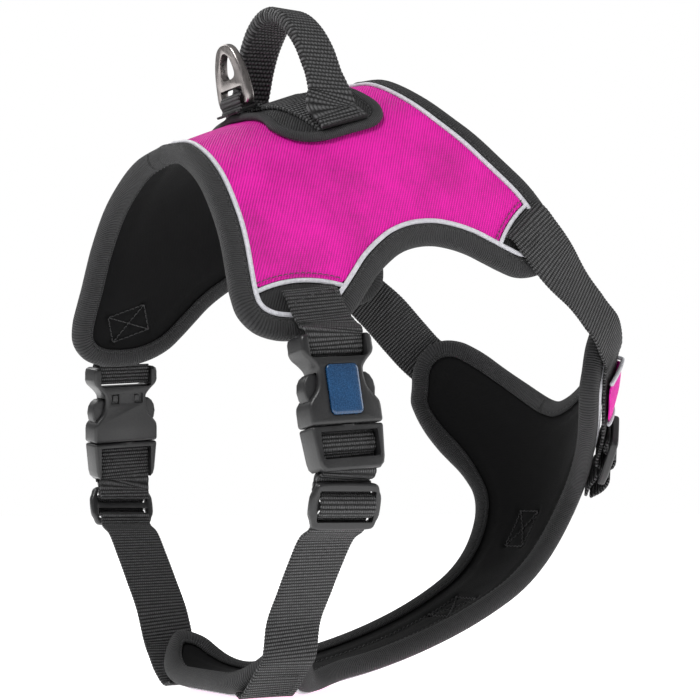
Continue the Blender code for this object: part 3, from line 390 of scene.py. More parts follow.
# ---- materials ---------------------------------------------------------------
class Graph:
    """A Principled material with helpers for its node tree."""

    def __init__(self, name, **shader):
        self.material = bpy.data.materials.new(name)
        self.material.use_nodes = True
        self.nodes, self.links = self.material.node_tree.nodes, self.material.node_tree.links
        self.shader = self.nodes["Principled BSDF"]
        for key, value in shader.items():
            self.shader.inputs[key.replace("_", " ")].default_value = value

    def put(self, socket, value):
        """Set or link an input."""
        if isinstance(value, bpy.types.NodeSocket):
            self.links.new(value, socket)
        else:
            socket.default_value = value

    def math(self, operation, a, b=0.0, c=0.0):
        """A maths node's result."""
        node = self.nodes.new("ShaderNodeMath")
        node.operation = operation
        for socket, value in zip(node.inputs, (a, b, c)):
            self.put(socket, value)
        return node.outputs[0]

    def add(self, a, share_a, b, share_b):
        """The weighted sum of two values."""
        return self.math("ADD", self.math("MULTIPLY", a, share_a),
                         self.math("MULTIPLY", b, share_b))

    def yarns(self, across, along, width, row):
        """Yarns of that width, shifted by half a yarn in every other row."""
        shift = self.math("MULTIPLY", self.math("FLOOR", self.math("DIVIDE", along, row)), 0.5)
        place = self.math("ADD", self.math("DIVIDE", across, width), shift)
        return self.math("ABSOLUTE", self.math("SINE", self.math("MULTIPLY", math.pi, place)))

    def cloth(self):
        """Along, across and third coordinate of the cloth, in metres."""
        node = self.nodes.new("ShaderNodeAttribute")
        node.attribute_name = "cloth"
        parts = self.nodes.new("ShaderNodeSeparateXYZ")
        self.links.new(node.outputs["Vector"], parts.inputs[0])
        return parts.outputs

    def noise(self, scale, detail=2.0, stretch=(1, 1, 1)):
        """A noise pattern's value in the object's space."""
        where = self.nodes.new("ShaderNodeTexCoord")
        mapping = self.nodes.new("ShaderNodeMapping")
        mapping.inputs["Scale"].default_value = stretch
        self.links.new(where.outputs["Object"], mapping.inputs["Vector"])
        node = self.nodes.new("ShaderNodeTexNoise")
        node.inputs["Scale"].default_value = scale
        node.inputs["Detail"].default_value = detail
        self.links.new(mapping.outputs[0], node.inputs["Vector"])
        return node.outputs["Fac"]

    def wave(self, coordinate, pitch):
        """0 to 1 and back over each pitch, in metres."""
        turns = self.math("MULTIPLY", coordinate, math.pi / pitch)
        return self.math("ABSOLUTE", self.math("SINE", turns))

    def ramp(self, value, low, high, colours):
        """A colour between two for a value between low and high."""
        node = self.nodes.new("ShaderNodeMapRange")
        for key, number in (("Value", value), ("From Min", low), ("From Max", high)):
            self.put(node.inputs[key], number)
        mix = self.nodes.new("ShaderNodeMix")
        mix.data_type = "RGBA"
        self.links.new(node.outputs[0], mix.inputs["Factor"])
        for socket, colour in zip(mix.inputs[6:8], colours):
            self.put(socket, (*colour, 1) if isinstance(colour, tuple) else colour)
        return mix.outputs[2]

    def bump(self, height, distance, strength=1.0, before=None):
        """A bump of that depth in metres; it may stand on another."""
        node = self.nodes.new("ShaderNodeBump")
        node.inputs["Distance"].default_value = distance
        node.inputs["Strength"].default_value = strength
        self.put(node.inputs["Height"], height)
        if before is not None:
            self.links.new(before, node.inputs["Normal"])
        return node.outputs[0]

    def use(self, colour=None, normal=None, roughness=None):
        """Link the shader's inputs and return the material."""
        for key, value in (("Base Color", colour), ("Normal", normal), ("Roughness", roughness)):
            if value is not None:
                self.put(self.shader.inputs[key], value)
        return self.material

    def rough(self, value, low, high):
        """Roughness between two values for a noise between 0.3 and 0.7."""
        node = self.nodes.new("ShaderNodeMapRange")
        for key, number in (("Value", value), ("From Min", 0.3), ("From Max", 0.7), ("To Min", low),
                            ("To Max", high)):
            self.put(node.inputs[key], number)
        return node.outputs[0]


def twill_material(name, dark, light, sheen):
    """A fine diagonal twill, mottled, with painted shade: its colour is darker in the grooves between the
    twill lines.
    """
    g = Graph(name, Roughness=0.62, Sheen_Weight=sheen, Sheen_Roughness=0.4, Specular_IOR_Level=0.2)
    along, across, _ = g.cloth()
    diagonal = g.math("MULTIPLY", g.math("ADD", along, across), math.sqrt(0.5))
    other = g.math("MULTIPLY", g.math("SUBTRACT", along, across), math.sqrt(0.5))
    line = g.wave(diagonal, TWILL_PITCH * MM)
    yarn = g.yarns(other, diagonal, TWILL_PITCH * 0.85 * MM, TWILL_PITCH * MM)
    height = g.math("MULTIPLY", line, g.math("ADD", g.math("MULTIPLY", yarn, 0.35), 0.65))
    mottle = g.add(g.noise(38, 3), 0.75, g.noise(420, 2), 0.25)
    # painted shade: the colour follows the twill height, darker in the grooves; the mottle is the cloth's own
    # uneven tone
    shade = g.add(height, 0.42, mottle, 0.85)
    colour = g.ramp(shade, 0.30, 0.85, (dark, light))
    return g.use(colour, g.bump(height, 0.0003, 1.0), g.rough(mottle, 0.5, 0.72))


def webbing_material(name, pitch, yarn_pitch, dark, light):
    """Ribbed webbing: rows of yarns across the strap, each row half a yarn along from the last; its colour is
    painted shade in the gaps and painted highlight on the rib and yarn tops.
    """
    g = Graph(name, Roughness=0.6, Sheen_Weight=0.05, Sheen_Roughness=0.45, Specular_IOR_Level=0.35)
    along, across, _ = g.cloth()
    row = g.wave(along, pitch * MM)
    yarn = g.yarns(across, along, yarn_pitch * MM, pitch * MM)
    height = g.math("MULTIPLY", g.math("POWER", row, 1.2),
                    g.math("ADD", g.math("MULTIPLY", yarn, 0.75), 0.25))
    fuzz = g.noise(900, 2)
    # painted shade and highlight: the colour follows the rib and yarn height, near black in the gaps and light
    # on the tops; the fuzz is the yarn's own speckled tone
    shade = g.math("ADD", height, g.math("MULTIPLY", g.math("SUBTRACT", fuzz, 0.5), 0.9))
    colour = g.ramp(shade, 0.22, 1.05, (dark, light))
    return g.use(colour, g.bump(height, 0.0006, 1.0), g.rough(fuzz, 0.48, 0.72))


def binding_material():
    """Charcoal stretch binding with fine ribs across it; its colour is painted darker in the gaps between ribs
    and knit, a painted shade.
    """
    g = Graph("binding_look", Roughness=0.72, Sheen_Weight=0.08, Sheen_Roughness=0.5,
              Specular_IOR_Level=0.3)
    along, across, _ = g.cloth()
    rib = g.wave(along, BINDING_RIB * MM)
    knit = g.wave(across, 0.55 * MM)
    height = g.add(rib, 0.8, knit, 0.2)
    fuzz = g.noise(260, 3)
    # painted shade: the colour follows the rib and knit height, darker in the gaps; the fuzz is the binding's
    # own uneven tone
    shade = g.add(height, 0.5, fuzz, 0.7)
    colour = g.ramp(shade, 0.25, 1.0, ((0.003, 0.003, 0.0033), (0.042, 0.042, 0.044)))
    return g.use(colour, g.bump(height, 0.0005, 1.0), g.rough(fuzz, 0.62, 0.85))


def lining_material():
    """Near-black smooth knit of the padded lining; its colour is painted darker between the knit loops, a
    painted shade.
    """
    g = Graph("lining_look", Roughness=0.85, Sheen_Weight=0.06, Sheen_Roughness=0.35,
              Specular_IOR_Level=0.16)
    along, across, _ = g.cloth()
    knit = g.math("MULTIPLY", g.wave(along, 0.8 * MM), g.wave(across, 0.65 * MM))
    soft = g.noise(30, 3)
    # painted shade: the colour follows the knit height, darker between the loops; the soft noise is the
    # lining's own uneven tone
    shade = g.add(knit, 0.3, soft, 0.8)
    colour = g.ramp(shade, 0.2, 1.0, ((0.0015, 0.0015, 0.0017), (0.008, 0.008, 0.0085)))
    normal = g.bump(knit, 0.00008, 0.6, g.bump(g.noise(150, 3), 0.0003, 0.5))
    return g.use(colour, normal, g.rough(soft, 0.78, 0.95))


def piping_material():
    """Silver-grey reflective piping, lightly creased across; its colour is painted darker in the weave gaps
    and in the creases, a painted shade.
    """
    g = Graph("piping_look", Roughness=0.45, Sheen_Weight=0.3, Specular_IOR_Level=0.6)
    along, _, _ = g.cloth()
    crease = g.noise(700, 2)
    weave = g.wave(along, 0.7 * MM)
    # painted shade: the colour follows the same height as the bump, darker in the weave gaps and creases
    shade = g.add(weave, 0.25, crease, 0.8)
    colour = g.ramp(shade, 0.2, 0.95, ((0.40, 0.40, 0.44), (0.80, 0.80, 0.84)))
    return g.use(colour, g.bump(shade, 0.00012, 0.6), g.rough(crease, 0.35, 0.6))


def plastic_material():
    """Black moulded plastic with a fine spark-eroded texture."""
    g = Graph("plastic_look", Roughness=0.36, Specular_IOR_Level=0.55)
    grain, broad = g.noise(1500, 2), g.noise(60, 2)
    colour = g.ramp(g.add(grain, 0.6, broad, 0.4), 0.3, 0.7,
                    ((0.010, 0.010, 0.0105), (0.024, 0.024, 0.025)))
    return g.use(colour, g.bump(grain, 0.00012, 0.55), g.rough(broad, 0.3, 0.42))


def metal_material():
    """Dark gunmetal casting, finely brushed and a little warmer where it is rubbed."""
    g = Graph("ring_look", Metallic=1.0, Roughness=0.3)
    brushed = g.noise(900, 3, (1, 1, 0.06))
    worn = g.noise(110, 3)
    colour = g.ramp(worn, 0.35, 0.68, ((0.27, 0.25, 0.245), (0.46, 0.425, 0.41)))
    return g.use(colour, g.bump(brushed, 0.00006, 0.5), g.rough(brushed, 0.22, 0.4))


def badge_material():
    """Deep blue enamel under a clear dome, with a faint metallic fleck."""
    g = Graph("badge_look", Roughness=0.25, Coat_Weight=0.8, Coat_Roughness=0.03,
              Specular_IOR_Level=0.4)
    fleck, broad = g.noise(2600, 2), g.noise(45, 2)
    shade = g.add(fleck, 0.7, broad, 0.3)
    colour = g.ramp(shade, 0.36, 0.66, ((0.003, 0.022, 0.065), (0.012, 0.085, 0.22)))
    return g.use(colour, None, g.rough(fleck, 0.18, 0.34))


def thread_material():
    """Twisted black thread."""
    g = Graph("thread_look", Roughness=0.55, Sheen_Weight=0.2, Specular_IOR_Level=0.4)
    twist = g.noise(1800, 2)
    colour = g.ramp(twist, 0.3, 0.7, ((0.014, 0.014, 0.015), (0.05, 0.05, 0.052)))
    return g.use(colour, g.bump(twist, 0.00008, 0.5), g.rough(twist, 0.45, 0.65))


LOOKS = {
    # twill colours: the dark end is reached partly through painted shade in the twill grooves and partly
    # through the cloth's own mottled tone
    "cover_fabric": twill_material("cover_look", (0.34, 0.0015, 0.165), (0.90, 0.012, 0.45), 0.03),
    "black_fabric": twill_material("black_fabric_look", (0.003, 0.003, 0.0033),
                                   (0.026, 0.026, 0.027), 0.04),
    "lining": lining_material(),
    "binding": binding_material(),
    "piping": piping_material(),
    # webbing colours: the dark end is painted shade in the gaps between ribs and yarns, the light end mostly
    # painted highlight on their tops
    "webbing": webbing_material("strap_look", STRAP_RIB, 1.0, (0.0008, 0.0008, 0.001),
                                (0.115, 0.115, 0.118)),
    "handle": webbing_material("handle_look", HANDLE_RIB, 1.9, (0.0006, 0.0006, 0.0008),
                               (0.115, 0.115, 0.118)),
    "plastic": plastic_material(),
    "badge": badge_material(),
    "ring_metal": metal_material(),
    "thread": thread_material(),
}


# ---- making pieces -----------------------------------------------------------
def new_piece(name, points, faces, look, body="harness", nodes=(), cloth=None, sharp=None):
    """A piece from points in millimetres, riding on a body and standing for CAD nodes."""
    mesh = bpy.data.meshes.new(name)
    mesh.from_pydata(np.asarray(points) * MM, [], faces)
    mesh.polygons.foreach_set("use_smooth", np.ones(len(mesh.polygons), bool))
    if cloth is not None:
        layer = mesh.attributes.new("cloth", "FLOAT_VECTOR", "POINT")
        layer.data.foreach_set("vector", (np.asarray(cloth, np.float32) * MM).ravel())
    work = bmesh.new()
    work.from_mesh(mesh)
    bmesh.ops.recalc_face_normals(work, faces=work.faces)
    if work.calc_volume(signed=True) < 0:
        bmesh.ops.reverse_faces(work, faces=work.faces)
    if sharp is not None:
        for edge in work.edges:
            edge.smooth = edge.calc_face_angle(0) < math.radians(sharp)
    work.to_mesh(mesh)
    work.free()
    piece = bpy.data.objects.new(name, mesh)
    bpy.context.scene.collection.objects.link(piece)
    mesh.materials.append(LOOKS[look])
    if body:
        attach(piece, body)
    if nodes:
        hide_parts(*nodes)
    return piece


def round_rings(line, side, up, radius, sides):
    """Circles of points about a line, and their angles."""
    angles = np.arange(sides) * 2 * math.pi / sides
    return line[:, None] + radius * (side[:, None] * np.cos(angles)[None, :, None]
                                     + up[:, None] * np.sin(angles)[None, :, None]), angles


def cloth_layer(along, across, shape):
    """The cloth coordinates of a tube's points."""
    return np.stack([np.broadcast_to(along, shape), np.broadcast_to(across, shape),
                     np.zeros(shape)], -1)


def tube_faces(rows, size, wrap):
    """Quads of a tube of rings, with caps unless it wraps round."""
    i, k = np.meshgrid(np.arange(rows if wrap else rows - 1), np.arange(size), indexing="ij")
    n, j = (k + 1) % size, (i + 1) % rows
    quads = np.stack([i * size + k, i * size + n, j * size + n, j * size + k], -1).reshape(-1, 4)
    faces = quads.tolist()
    if not wrap:
        faces += [list(range(size))[::-1], list(range((rows - 1) * size, rows * size))]
    return faces


def tube(name, rings, look, wrap=False, cloth=None, **facts):
    """A closed body through rings of points."""
    rows, size, _ = rings.shape
    if cloth is not None:
        cloth = cloth.reshape(-1, 3)
    return new_piece(name, rings.reshape(-1, 3), tube_faces(rows, size, wrap), look, cloth=cloth,
                     **facts)


def lumpy(points, scale, seed=0.0):
    """Smooth noise from -1 to 1 at pattern points."""
    return np.array([noise.noise(Vector((p[0] / scale[0], p[1] / scale[1], seed))) for p in points])


def panel(name, surface, loop, low, high, look, nodes, step=PANEL_STEP, extra=None):
    """A sheet over an outline of the pattern; low and high are functions of points and edge distance."""
    loop = resample(loop, step)
    span = [np.arange(math.floor(loop[:, k].min() / step),
                      loop[:, k].max() / step + 1) * step for k in (0, 1)]
    grid = np.stack(np.meshgrid(*span, indexing="ij"), -1).reshape(-1, 2)
    grid = grid + np.outer((np.arange(len(grid)) % 2) * 0.35 - 0.17, (1, 0.6))
    if extra is not None:
        grid = np.vstack([grid[line_distance(grid, extra) > step * 0.5], extra])
    grid = grid[is_inside(grid, loop)]
    closed = np.vstack([loop, loop[:1]])
    grid = grid[line_distance(grid, closed) > step * 0.55]
    count = len(loop)
    edges = [(i, (i + 1) % count) for i in range(count)]
    vectors = [Vector(p) for p in np.vstack([loop, grid])]
    flat, _, triangles, *_ = delaunay_2d_cdt(vectors, edges, [], 1, 1e-6)
    flat = np.array([tuple(p) for p in flat])
    inward = line_distance(flat, closed)
    total = len(flat)
    triangles = np.array([tuple(t) for t in triangles])
    points = np.vstack([surface(flat[:, 0], flat[:, 1], level(flat, inward)) for level in (low,
                                                                                           high)])
    pairs = np.vstack([triangles[:, [0, 1]], triangles[:, [1, 2]], triangles[:, [2, 0]]])
    seen = {}
    for a, b in pairs.tolist():
        seen[(min(a, b), max(a, b))] = None if (min(a, b), max(a, b)) in seen else (a, b)
    faces = triangles.tolist() + (triangles[:, ::-1] + total).tolist()
    faces += [(b, a, a + total, b + total) for a, b in filter(None, seen.values())]
    cloth = np.vstack([np.column_stack([flat, np.zeros(total)]),
                       np.column_stack([flat, np.ones(total)])])
    return new_piece(name, points, faces, look, nodes=nodes, cloth=cloth, sharp=50), loop


def edge_band(name, surface, loop, section, look, node):
    """A closed band that follows an outline; its section is (distance in, height), smoothed."""
    section = catmull(section, 2, closed=True)
    rings = [fine_ring(loop, d) for d, _ in section]
    points = np.stack([surface(r[:, 0], r[:, 1], h) for r, (_, h) in zip(rings, section)], 1)
    middle = np.vstack([points[:, 0], points[:1, 0]])
    along = running_length(middle)[:-1]
    around = running_length(section)
    cloth = cloth_layer(along[:, None], around[None], points.shape[:2])
    return tube(name, points, look, wrap=True, cloth=cloth, nodes=(node,))


def surface_bead(name, surface, path, lift, radius, nodes, wrap=False):
    """A round piping bead that follows a path of the pattern."""
    line = surface(path[:, 0], path[:, 1], lift)
    ups = surface(path[:, 0], path[:, 1], lift + 1) - line
    if wrap:
        along = np.roll(line, -1, 0) - np.roll(line, 1, 0)
    else:
        along = np.gradient(line, axis=0)
    along /= np.linalg.norm(along, axis=1)[:, None]
    side = np.cross(along, ups)
    side /= np.linalg.norm(side, axis=1)[:, None]
    rings, angles = round_rings(line, side, np.cross(side, along), radius, BEAD_SIDES)
    shape = rings.shape[:2]
    cloth = cloth_layer(running_length(line)[:, None], angles[None] * radius, shape)
    return tube(name, rings, "piping", wrap=wrap, cloth=cloth, nodes=nodes)


def smooth_line(points, across):
    """A centripetal curve through strap points, with the width direction carried along."""
    p = np.asarray(points, float)
    p = np.vstack([2 * p[0] - p[1], p, 2 * p[-1] - p[-2]])
    knots = np.concatenate([[0], np.cumsum(np.sqrt(np.linalg.norm(np.diff(p, axis=0), axis=1)))])
    out, sides = [], []
    for i in range(1, len(p) - 2):
        t0, t1, t2, t3 = knots[i - 1:i + 3]
        steps = max(int(np.linalg.norm(p[i + 1] - p[i]) / 0.35), 3)
        for k in range(steps):
            t = t1 + (t2 - t1) * k / steps
            a1 = (p[i - 1] * (t1 - t) + p[i] * (t - t0)) / (t1 - t0)
            a2 = (p[i] * (t2 - t) + p[i + 1] * (t - t1)) / (t2 - t1)
            a3 = (p[i + 1] * (t3 - t) + p[i + 2] * (t - t2)) / (t3 - t2)
            b1 = (a1 * (t2 - t) + a2 * (t - t0)) / (t2 - t0)
            b2 = (a2 * (t3 - t) + a3 * (t - t1)) / (t3 - t1)
            out.append((b1 * (t2 - t) + b2 * (t - t1)) / (t2 - t1))
            sides.append(across[i - 1] + (across[i] - across[i - 1]) * k / steps)
    out.append(p[-2])
    sides.append(across[-1])
    return np.array(out), np.array(sides)


def strap_section(half, thick, columns=8, corner=3):
    """A flat strap's cross-section: sideways and up."""
    flat = np.linspace(-half + thick * 0.55, half - thick * 0.55, columns)
    top = [(x, thick) for x in flat]
    turn = [(half - thick * 0.55 + thick * 0.75 * math.sin(a), thick * math.cos(a))
            for a in np.linspace(0, math.pi, corner + 2)[1:-1]]
    half_loop = top + turn
    return np.array(half_loop + [(-x, -y) for x, y in half_loop])


def webbing(name, points, across, nodes=(), width=WEB_WIDTH, thick=WEB_THICK, look="webbing",
            pitch=STRAP_RIB, widths=None, thicks=None, rib=0.16, body="harness"):
    """A woven strap: real ribs across it and a toothed selvedge."""
    line, sides = smooth_line(points, across)
    length = running_length(line)
    count = int(length[-1] / pitch * STATIONS_PER_RIB)
    wanted = np.linspace(0, length[-1], count)
    sides = np.stack([np.interp(wanted, length, sides[:, k]) for k in range(3)], 1)
    reach = int(TWIST_REACH / (length[-1] / count))
    eased = np.pad(sides, ((reach, reach), (0, 0)), mode="edge")
    weights = np.hanning(2 * reach + 3)[1:-1]
    weights /= weights.sum()
    sides = np.stack([np.convolve(eased[:, k], weights, "valid") for k in range(3)], 1)
    line = along_line(line, wanted)
    along = np.gradient(line, axis=0)
    along /= np.linalg.norm(along, axis=1)[:, None]
    sides = sides - along * (sides * along).sum(1)[:, None]
    sides /= np.linalg.norm(sides, axis=1)[:, None]
    up = np.cross(sides, along)
    row = np.abs(np.sin(math.pi * wanted / pitch))
    swell = rib * (row ** 0.7 - 0.6)
    share = wanted / length[-1]
    half = np.interp(share, *zip(*(widths or [(0, width), (1, width)]))) / 2
    deep = np.interp(share, *zip(*(thicks or [(0, thick), (1, thick)]))) / 2
    columns = strap_section(1.0, 0.1)[:, 0]
    rings = []
    for i in range(count):
        section = strap_section(half[i] + 0.22 * (row[i] - 0.5), deep[i] + swell[i])
        rings.append(line[i] + np.outer(section[:, 0], sides[i]) + np.outer(section[:, 1], up[i]))
    rings = np.array(rings)
    cloth = cloth_layer(wanted[:, None], half[:, None] * columns[None], rings.shape[:2])
    return tube(name, rings, look, cloth=cloth, nodes=nodes, body=body)


def stitch_row(surface, path, lift, pitch=3.0, thread=0.3, closed=False):
    """Rings of points for a row of stitches along a path of the pattern."""
    path = resample(np.asarray(path, float), pitch, closed)
    ends = np.roll(path, -1, 0) if closed else path[1:]
    rods = []
    profile = ((0.10, -0.4), (0.24, 0.1), (0.5, 0.28), (0.76, 0.1), (0.90, -0.4))
    for a, b in zip(path, ends):
        flat = np.array([a + (b - a) * share for share, _ in profile])
        rise = np.array([lift + extra for _, extra in profile])
        line = surface(flat[:, 0], flat[:, 1], rise)
        up = surface(flat[:, 0], flat[:, 1], rise + 1) - line
        along = np.gradient(line, axis=0)
        side = np.cross(along, up)
        side /= np.linalg.norm(side, axis=1)[:, None]
        rods.append(round_rings(line, side, up, thread, STITCH_SIDES)[0])
    return rods


def stitches(name, rods):
    """One piece from many short stitches."""
    faces = []
    size = rods[0].shape[0] * rods[0].shape[1]
    one = tube_faces(rods[0].shape[0], rods[0].shape[1], False)
    for n in range(len(rods)):
        faces += [[i + n * size for i in face] for face in one]
    return new_piece(name, np.array(rods).reshape(-1, 3), faces, "thread")


def box(s_low, s_high, t_low, t_high):
    """The paths of a sewn box."""
    a, b, c, d = (s_low, t_low), (s_high, t_low), (s_high, t_high), (s_low, t_high)
    return [[a, b], [b, c], [c, d], [d, a]]


def box_x(s_low, s_high, t_low, t_high):
    """The paths of a sewn box with a cross in it."""
    (a, b), _, (c, d), _ = box(s_low, s_high, t_low, t_high)
    return box(s_low, s_high, t_low, t_high) + [[a, c], [b, d]]


def sew(surface, paths, lift, pitch, thread):
    """Stitch rows along several paths."""
    return [rod for path in paths for rod in stitch_row(surface, path, lift, pitch, thread)]


# ---- padded panels -----------------------------------------------------------
BINDING_SECTION = [(8.0, 2.6), (7.7, 3.4), (7.0, 3.75), (6.5, 3.45), (6.0, 3.8), (4.2, 4.05),
                   (2.2, 3.8),
                   (0.6, 2.9), (-0.35, 1.3), (-0.55, -0.3), (-0.35, -1.9), (0.6, -3.4), (2.2, -4.3),
                   (4.2, -4.55), (6.0, -4.3), (6.5, -3.95), (7.0, -4.25), (7.7, -3.9), (8.0, -3.2),
                   (7.0, -2.75), (3.2, -2.75), (1.9, -1.9), (1.9, 1.5), (3.2, 2.35), (7.0, 2.35)]


def padded_edge(prefix, surface, half, sewn):
    """Foam pad with its lining, stretch binding and piping; sewn lists the seams that sink into the lining."""
    loop = outline(half)
    welt = fine_ring(loop, 12.4, 4)
    welt = np.vstack([welt, welt[:1]])

    def inner(points, inward):
        level = -2.3 - 1.3 * smooth_step((inward - 5.0) / 5.0)
        level = level + 0.75 * np.exp(-(line_distance(points, welt) / 1.5) ** 2)
        for path in sewn:
            level = level + 0.7 * np.exp(-(line_distance(points, np.array(path, float)) / 1.3) ** 2)
        calm = smooth_step((inward - 14) / 10)
        return level + calm * (0.35 * lumpy(points, (26, 34), 3.1) + 0.16 * lumpy(points, (9, 14),
                                                                                  7.7))

    def outer(points, inward):
        return 1.4 + 0.9 * smooth_step((inward - 4) / 6)

    more = [welt[:-1]] + [resample(np.array(p, float), 1.3, False) for p in sewn]
    pad, _ = panel(prefix + "_pad", surface, fine_ring(loop, 2.6), inner, outer, "lining",
                   (prefix + "_lining",), extra=np.vstack(more))
    edge_band(prefix + "_edge", surface, loop, BINDING_SECTION, "binding", prefix + "_binding")
    line = fine_ring(loop, PIPING_AT)
    surface_bead(prefix + "_piping_bead", surface, line, PIPING_HEIGHT, PIPING_RADIUS,
                 (prefix + "_piping",), wrap=True)
    rods = []
    for distance, lift in ((6.5, 3.45), (6.5, -4.0)):
        rods += stitch_row(surface, fine_ring(loop, distance), lift, 2.9, 0.24, closed=True)
    stitches(prefix + "_edge_stitches", rods)
    return loop


def cover_top(points, inward):
    """Height of a cover's face: crowned, with soft wrinkles that fade towards its edge."""
    crown = 0.45 * smooth_step(inward / 16)
    calm = smooth_step(inward / 9)
    turned = np.stack([points[:, 0] + 0.7 * points[:, 1], points[:, 1] - 0.7 * points[:, 0]], 1)
    folds = 0.34 * lumpy(turned, (60, 20), 1.3) + 0.16 * lumpy(points, (17, 24), 5.9)
    return COVER_HIGH - 0.35 + crown + calm * folds


def cover_bottom(points, inward):
    """Height of a cover's back."""
    return np.full(len(points), COVER_LOW - 0.1)


def cover_panel(node, surface, loop, look):
    """A cover or lobe-end panel."""
    piece, cut = panel(node + "_cloth", surface, loop, cover_bottom, cover_top, look, (node,))
    return piece


def trim(node, surface, loop, cut):
    """A reflective trim across a panel."""
    surface_bead(node + "_bead", surface, trim_path(loop, cut, 1.2), TRIM_HEIGHT, TRIM_RADIUS,
                 (node,))


def make_saddle():
    """The back panel: pad, cover, four strap ends and the edge trim."""
    sewn = box_x(-13, 6, 104, 117) + box_x(-13, 6, -117, -104)
    loop = padded_edge("saddle", saddle, SADDLE_HALF, sewn)
    cover = fine_ring(loop, COVER_INSET, 4)
    full = cover
    rods = []
    for end, cut in SADDLE_CUTS.items():
        for tag, one in (("_right", cut), ("_left", mirrored(cut))):
            tip = split(cover, one, TRIM_CLEAR, True)
            cover_panel(f"saddle_tip_{end}{tag}", saddle, tip, "black_fabric")
            trim(f"saddle_trim_{end}{tag}", saddle, full, one)
            cover = split(cover, one, -TRIM_CLEAR, False)
            rods += stitch_row(saddle, cut_points(one, np.linspace(0.1, 0.9, 30), -3.0), 3.35, 2.6,
                               0.2)
    cover_panel("saddle_cover", saddle, cover, "cover_fabric")
    rods += sew(saddle, sewn, -3.2, 2.6, 0.24)
    stitches("saddle_stitches", rods)


def make_chest():
    """The chest plate: pad, covers, strap tunnels, belly lobes and the edge trim."""
    sewn = box_x(81, 101, -7, 7) + box_x(140, 158, -8, 8) + [[(158, 8), (262, 8)],
                                                             [(158, -8), (262, -8)]]
    loop = padded_edge("chest", chest, CHEST_HALF, sewn)
    cover = fine_ring(loop, COVER_INSET, 4)
    full = cover
    for tag, cut in (("right", CHEST_CUT_TAIL), ("left", mirrored(CHEST_CUT_TAIL))):
        tip = split(cover, cut, TRIM_CLEAR, True)
        cover_panel(f"chest_tip_tail_{tag}", chest, tip, "black_fabric")
        trim("chest_trim_tail_" + tag, chest, full, cut)
        cover = split(cover, cut, -TRIM_CLEAR, False)
    cover_panel("chest_cover", chest, split(cover, CHEST_CUT_FRONT, -TRIM_CLEAR, False),
                "cover_fabric")
    trim("chest_trim_front", chest, full, CHEST_CUT_FRONT)
    upper = split(cover, CHEST_CUT_FRONT, TRIM_CLEAR, True)
    for tag, flip in (("right", lambda c: c), ("left", mirrored)):
        tip_cut, band_cut = flip(CHEST_CUT_TIP), flip(CHEST_CUT_BAND)
        lobe = split(upper, band_cut, TRIM_CLEAR, True)
        trim("chest_trim_lower_" + tag, chest_tunnel, full, band_cut)
        upper = split(upper, band_cut, -TRIM_CLEAR, False)
        cover_panel("chest_tip_" + tag, chest, split(lobe, tip_cut, TRIM_CLEAR, True),
                    "black_fabric")
        trim("chest_trim_upper_" + tag, chest_tunnel, full, tip_cut)
        band = split(lobe, tip_cut, -TRIM_CLEAR, False)
        cover_panel("chest_band_" + tag, chest_tunnel, band, "cover_fabric")
    cover_panel("chest_front", chest, upper, "black_fabric")
    stitches("chest_stitches", sew(chest, sewn, -3.2, 2.6, 0.24))


# ---- handle and rings --------------------------------------------------------
def make_patch():
    """The bound patch on the ridge and the webbing sewn onto it."""
    loop = outline(PATCH_HALF, 7.0)

    def top(points, inward):
        return 5.3 + 0.25 * smooth_step(inward / 6) + 0.12 * lumpy(points, (14, 18), 2.2)

    def bottom(points, inward):
        return np.full(len(points), 4.3)

    patch, cut = panel("patch_cloth", saddle, fine_ring(loop, 2.6), bottom, top, "black_fabric",
                       ("handle_patch",))
    roll = [(-0.3, 4.6), (-0.4, 5.4), (0.1, 6.2), (1.0, 6.75), (2.2, 6.9), (3.4, 6.6), (4.2, 5.9),
            (4.3, 5.3),
            (3.2, 4.9), (1.6, 4.1), (0.4, 3.95)]
    edge_band("patch_edge", saddle, loop, roll, "binding", "patch_binding")
    stitches("patch_stitches",
             stitch_row(saddle, fine_ring(loop, 5.0), 5.5, 2.6, 0.22, closed=True))
    ts = np.linspace(-50, 50, 31)
    points = saddle(np.full(31, 66.0), ts, 6.5)
    webbing("handle_foot_webbing", points, np.tile(RIDGE, (31, 1)), ("handle_base",), look="handle",
            pitch=HANDLE_RIB, thick=1.9, rib=0.22)


def make_handle():
    """The webbing handle: flat feet on the patch, gathered into a thicker grip above."""
    top = HANDLE_ARCH[-1][1]
    right = [(x, HANDLE_PIVOT[1] - 4.0 * max(z / top, 0) ** 2, z) for x, z in HANDLE_ARCH[1:]]
    foot = saddle(np.full(3, 66.0), np.array([51.5, 47.0, 43.0]), np.array([8.6, 8.9, 9.8]))
    half = np.vstack([foot, right])
    points = np.vstack([half, (half * (-1, 1, 1))[::-1][1:]])
    across = np.array([RIDGE * 0.75 + np.array((0, 0.25, 0))] * 3 + [np.array((0, 1.0,
                                                                               0))] * (len(points) - 6)
                      + [RIDGE * 0.75 + np.array((0, 0.25, 0))] * 3)
    widths = [(0, 24.5), (0.06, 24), (0.12, 21.5), (0.2, 18.5), (0.3, 18.5), (0.4, 18.2), (0.5, 17)]
    widths += [(1 - s, w) for s, w in reversed(widths[:-1])]
    thicks = [(0, 2.0), (0.1, 2.4), (0.2, 3.0), (0.3, 4.2), (0.4, 6.4), (0.5, 7.0)]
    thicks += [(1 - s, w) for s, w in reversed(thicks[:-1])]
    handle = webbing("handle_webbing", points, across, ("handle",), look="handle", pitch=HANDLE_RIB,
                     widths=widths, thicks=thicks, rib=0.3, body=None)
    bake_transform(handle)
    paths = box(56, 76, -44.5, -51) + box(56, 76, 44.5, 51)
    stitches("handle_stitches", sew(saddle, paths, 9.9, 2.6, 0.26))


